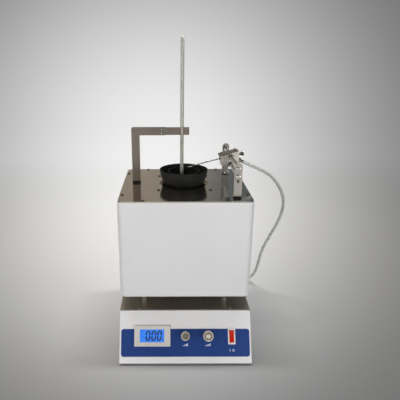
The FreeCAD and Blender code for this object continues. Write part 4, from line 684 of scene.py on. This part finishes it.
def dress():
    """Gives every node of the model its finish."""
    coat = white_powder_coat()
    # The top sheet and the shelf ramp from a lighter, warmer left to a darker, cooler right: a painted
    # reflection.
    top_sheet = rolled_sheet("brushed_stainless_top", "#D3CBC0", "#B4B5B0", 0.07, (24.0, 1400.0, 1400.0))
    low_sheet = rolled_sheet("brushed_stainless_shelf", "#B5AB9D", "#A39C92", 0.40, (24.0, 1400.0, 1400.0))
    strip = rolled_sheet("brushed_stainless_strip", "#857C73", "#857C73", 0.30, (36.0, 2200.0, 2200.0))
    post = rolled_sheet("folded_stainless", "#ABA7A1", "#ABA7A1", 0.26, (2200.0, 2200.0, 36.0))
    # The igniter cover takes a darker copy of the stainless: its dark tint is a painted dark reflection on
    # its top.
    cover = rolled_sheet("stainless_cover_painted_dark", "#6E695E", "#6E695E", 0.12, (36.0, 2200.0, 2200.0))
    # The rods' drawing lines run from a quarter of the tint to above it: real die lines, drawn far stronger
    # as painted reflection stripes along the rods.
    rod = bright_metal("drawn_steel_rod", "#D2CEC6", 0.10, (900.0, 4.0, 900.0), 0.25, 1.10)
    tube = bright_metal("drawn_steel_tube", "#8F8C86", 0.20, (4.0, 900.0, 900.0), 0.7, 1.05)
    block = bright_metal("milled_aluminium", "#C6C1BA", 0.30, (250.0, 250.0, 250.0), 0.97, 1.02)
    plated = bright_metal("zinc_plated_steel", "#C4C0B8", 0.18, (1200.0, 1200.0, 1200.0))
    turned_steel = bright_metal("turned_steel", "#85817A", 0.16, (1200.0, 1200.0, 1200.0))
    brass = bright_metal("turned_brass", "#BFA065", 0.22, (800.0, 800.0, 800.0))
    wire = bright_metal("oxidised_resistance_wire", "#6B645C", 0.45, (900.0, 900.0, 900.0))
    rubber = moulded("moulded_black_rubber", "#1A1A1A", 0.62, 1500.0)
    glass = clear_glass("laboratory_glass", "#D5D7CB", 0.08, 1.47, 0.55)
    finishes = {
        coat: ["base_housing", "base_bottom_cover", "furnace_housing", "furnace_bottom_plate"],
        top_sheet: ["furnace_top_plate"],
        bright_metal("blackened_steel", "#4B4741", 0.34, (900.0, 900.0, 900.0)): [
            "top_plate_screws", "heater_screws"],
        low_sheet: ["base_top_plate", "base_plate_screws"],
        strip: ["thermometer_bracket", "clip_front_jaw", "clip_rear_jaw"],
        post: ["front_post", "rear_post", "furnace_liner"],
        cover: ["igniter_cover"],
        rod: ["upper_guide_rod", "lower_guide_rod"],
        tube: ["nozzle_tube"],
        block: ["igniter_block"],
        turned_steel: ["needle_knob", "hose_barb", "nozzle_ferrule", "cover_screws"],
        plated: ["foot_screws", "support_pillars", "pillar_nuts", "lead_conduit", "clip_rivets",
                 "foot_plate_screws", "foot_plate_nuts", "rod_screws"],
        brass: ["gas_fittings", "panel_controls"],
        wire: ["heater_coil"],
        scaled_iron(): ["outer_crucible", "inner_crucible"],
        rubber: ["base_feet", "bracket_gasket", "front_post_gasket", "rear_post_washer"],
        moulded("black_nylon", "#161616", 0.40, 1500.0): ["guide_shoe"],
        bright_metal("oiled_bronze", "#6E655A", 0.35, (900.0, 900.0, 900.0)): ["rod_bush"],
        moulded("black_moulded_abs", "#1D1D1E", 0.45, 2000.0): ["meter_case", "rear_connectors"],
        glass: ["thermometer_tube", "thermometer_cap"],
        milk_glass_scale(): ["thermometer_scale"],
        bright_metal("mercury", "#8E8F8E", 0.10, (300.0, 300.0, 300.0)): ["thermometer_capillary"],
        fired_ceramic(): ["heater_pot"],
        ceramic_wool(): ["heater_lagging"],
        printed_film(): ["panel_label"],
        moulded("grey_moulded_abs", "#D0CDC9", 0.45, 2000.0): ["meter_bezel"],
        moulded("white_nylon", "#E9E8E6", 0.35, 2000.0): ["power_switch"],
        lit("red_polycarbonate", "#A00A08", "#D8180E", 0.22, "#F04A18"): ["switch_rocker"],
        circuit_board(): ["electronics"],
    }
    for finish, names in finishes.items():
        for name in names:
            slots = nodes[name].data.materials
            slots.clear()
            slots.append(finish)


eye, right, up, ahead = place_camera()
gas_hose(silicone())
dress()
# The knob's hollow floor gets a darker copy of the aluminium: painted shade in the recess.
knob_metal = bright_metal("turned_aluminium", "#DDD6CA", 0.42, (900.0, 900.0, 900.0))
knob_hollow_shade = bright_metal("aluminium_with_painted_hollow_shade", "#9A9892", 0.30, (900.0, 900.0, 900.0))
control_knob("heater_knob", "voltage_knob", "voltage_control", x=HEATER_KNOB_X, radius=8.8, height=13.0,
             bossed=False, finish=knob_metal, hollow_shade_finish=knob_hollow_shade)
control_knob("gas_valve_knob", "gas_knob", "gas_control", x=GAS_KNOB_X, radius=10.4, height=14.0,
             bossed=True, finish=knob_metal, hollow_shade_finish=knob_hollow_shade)
meter_face(glow=lit("backlit_display", "#0A2A55", "#1F7DFA", 0.9, "#3A95FF"),
           ink=moulded("display_ink", "#050A1C", 0.7, 2000.0),
           pane=clear_glass("clear_acrylic", "#F4FAFF", 0.02, 1.49, 1.0))
panel_marks(moulded("white_print", "#DDE3EE", 0.5, 2000.0))
stage_surface(eye, right, up, ahead)
light_the_scene()
bpy.context.scene.view_settings.view_transform = "Standard"
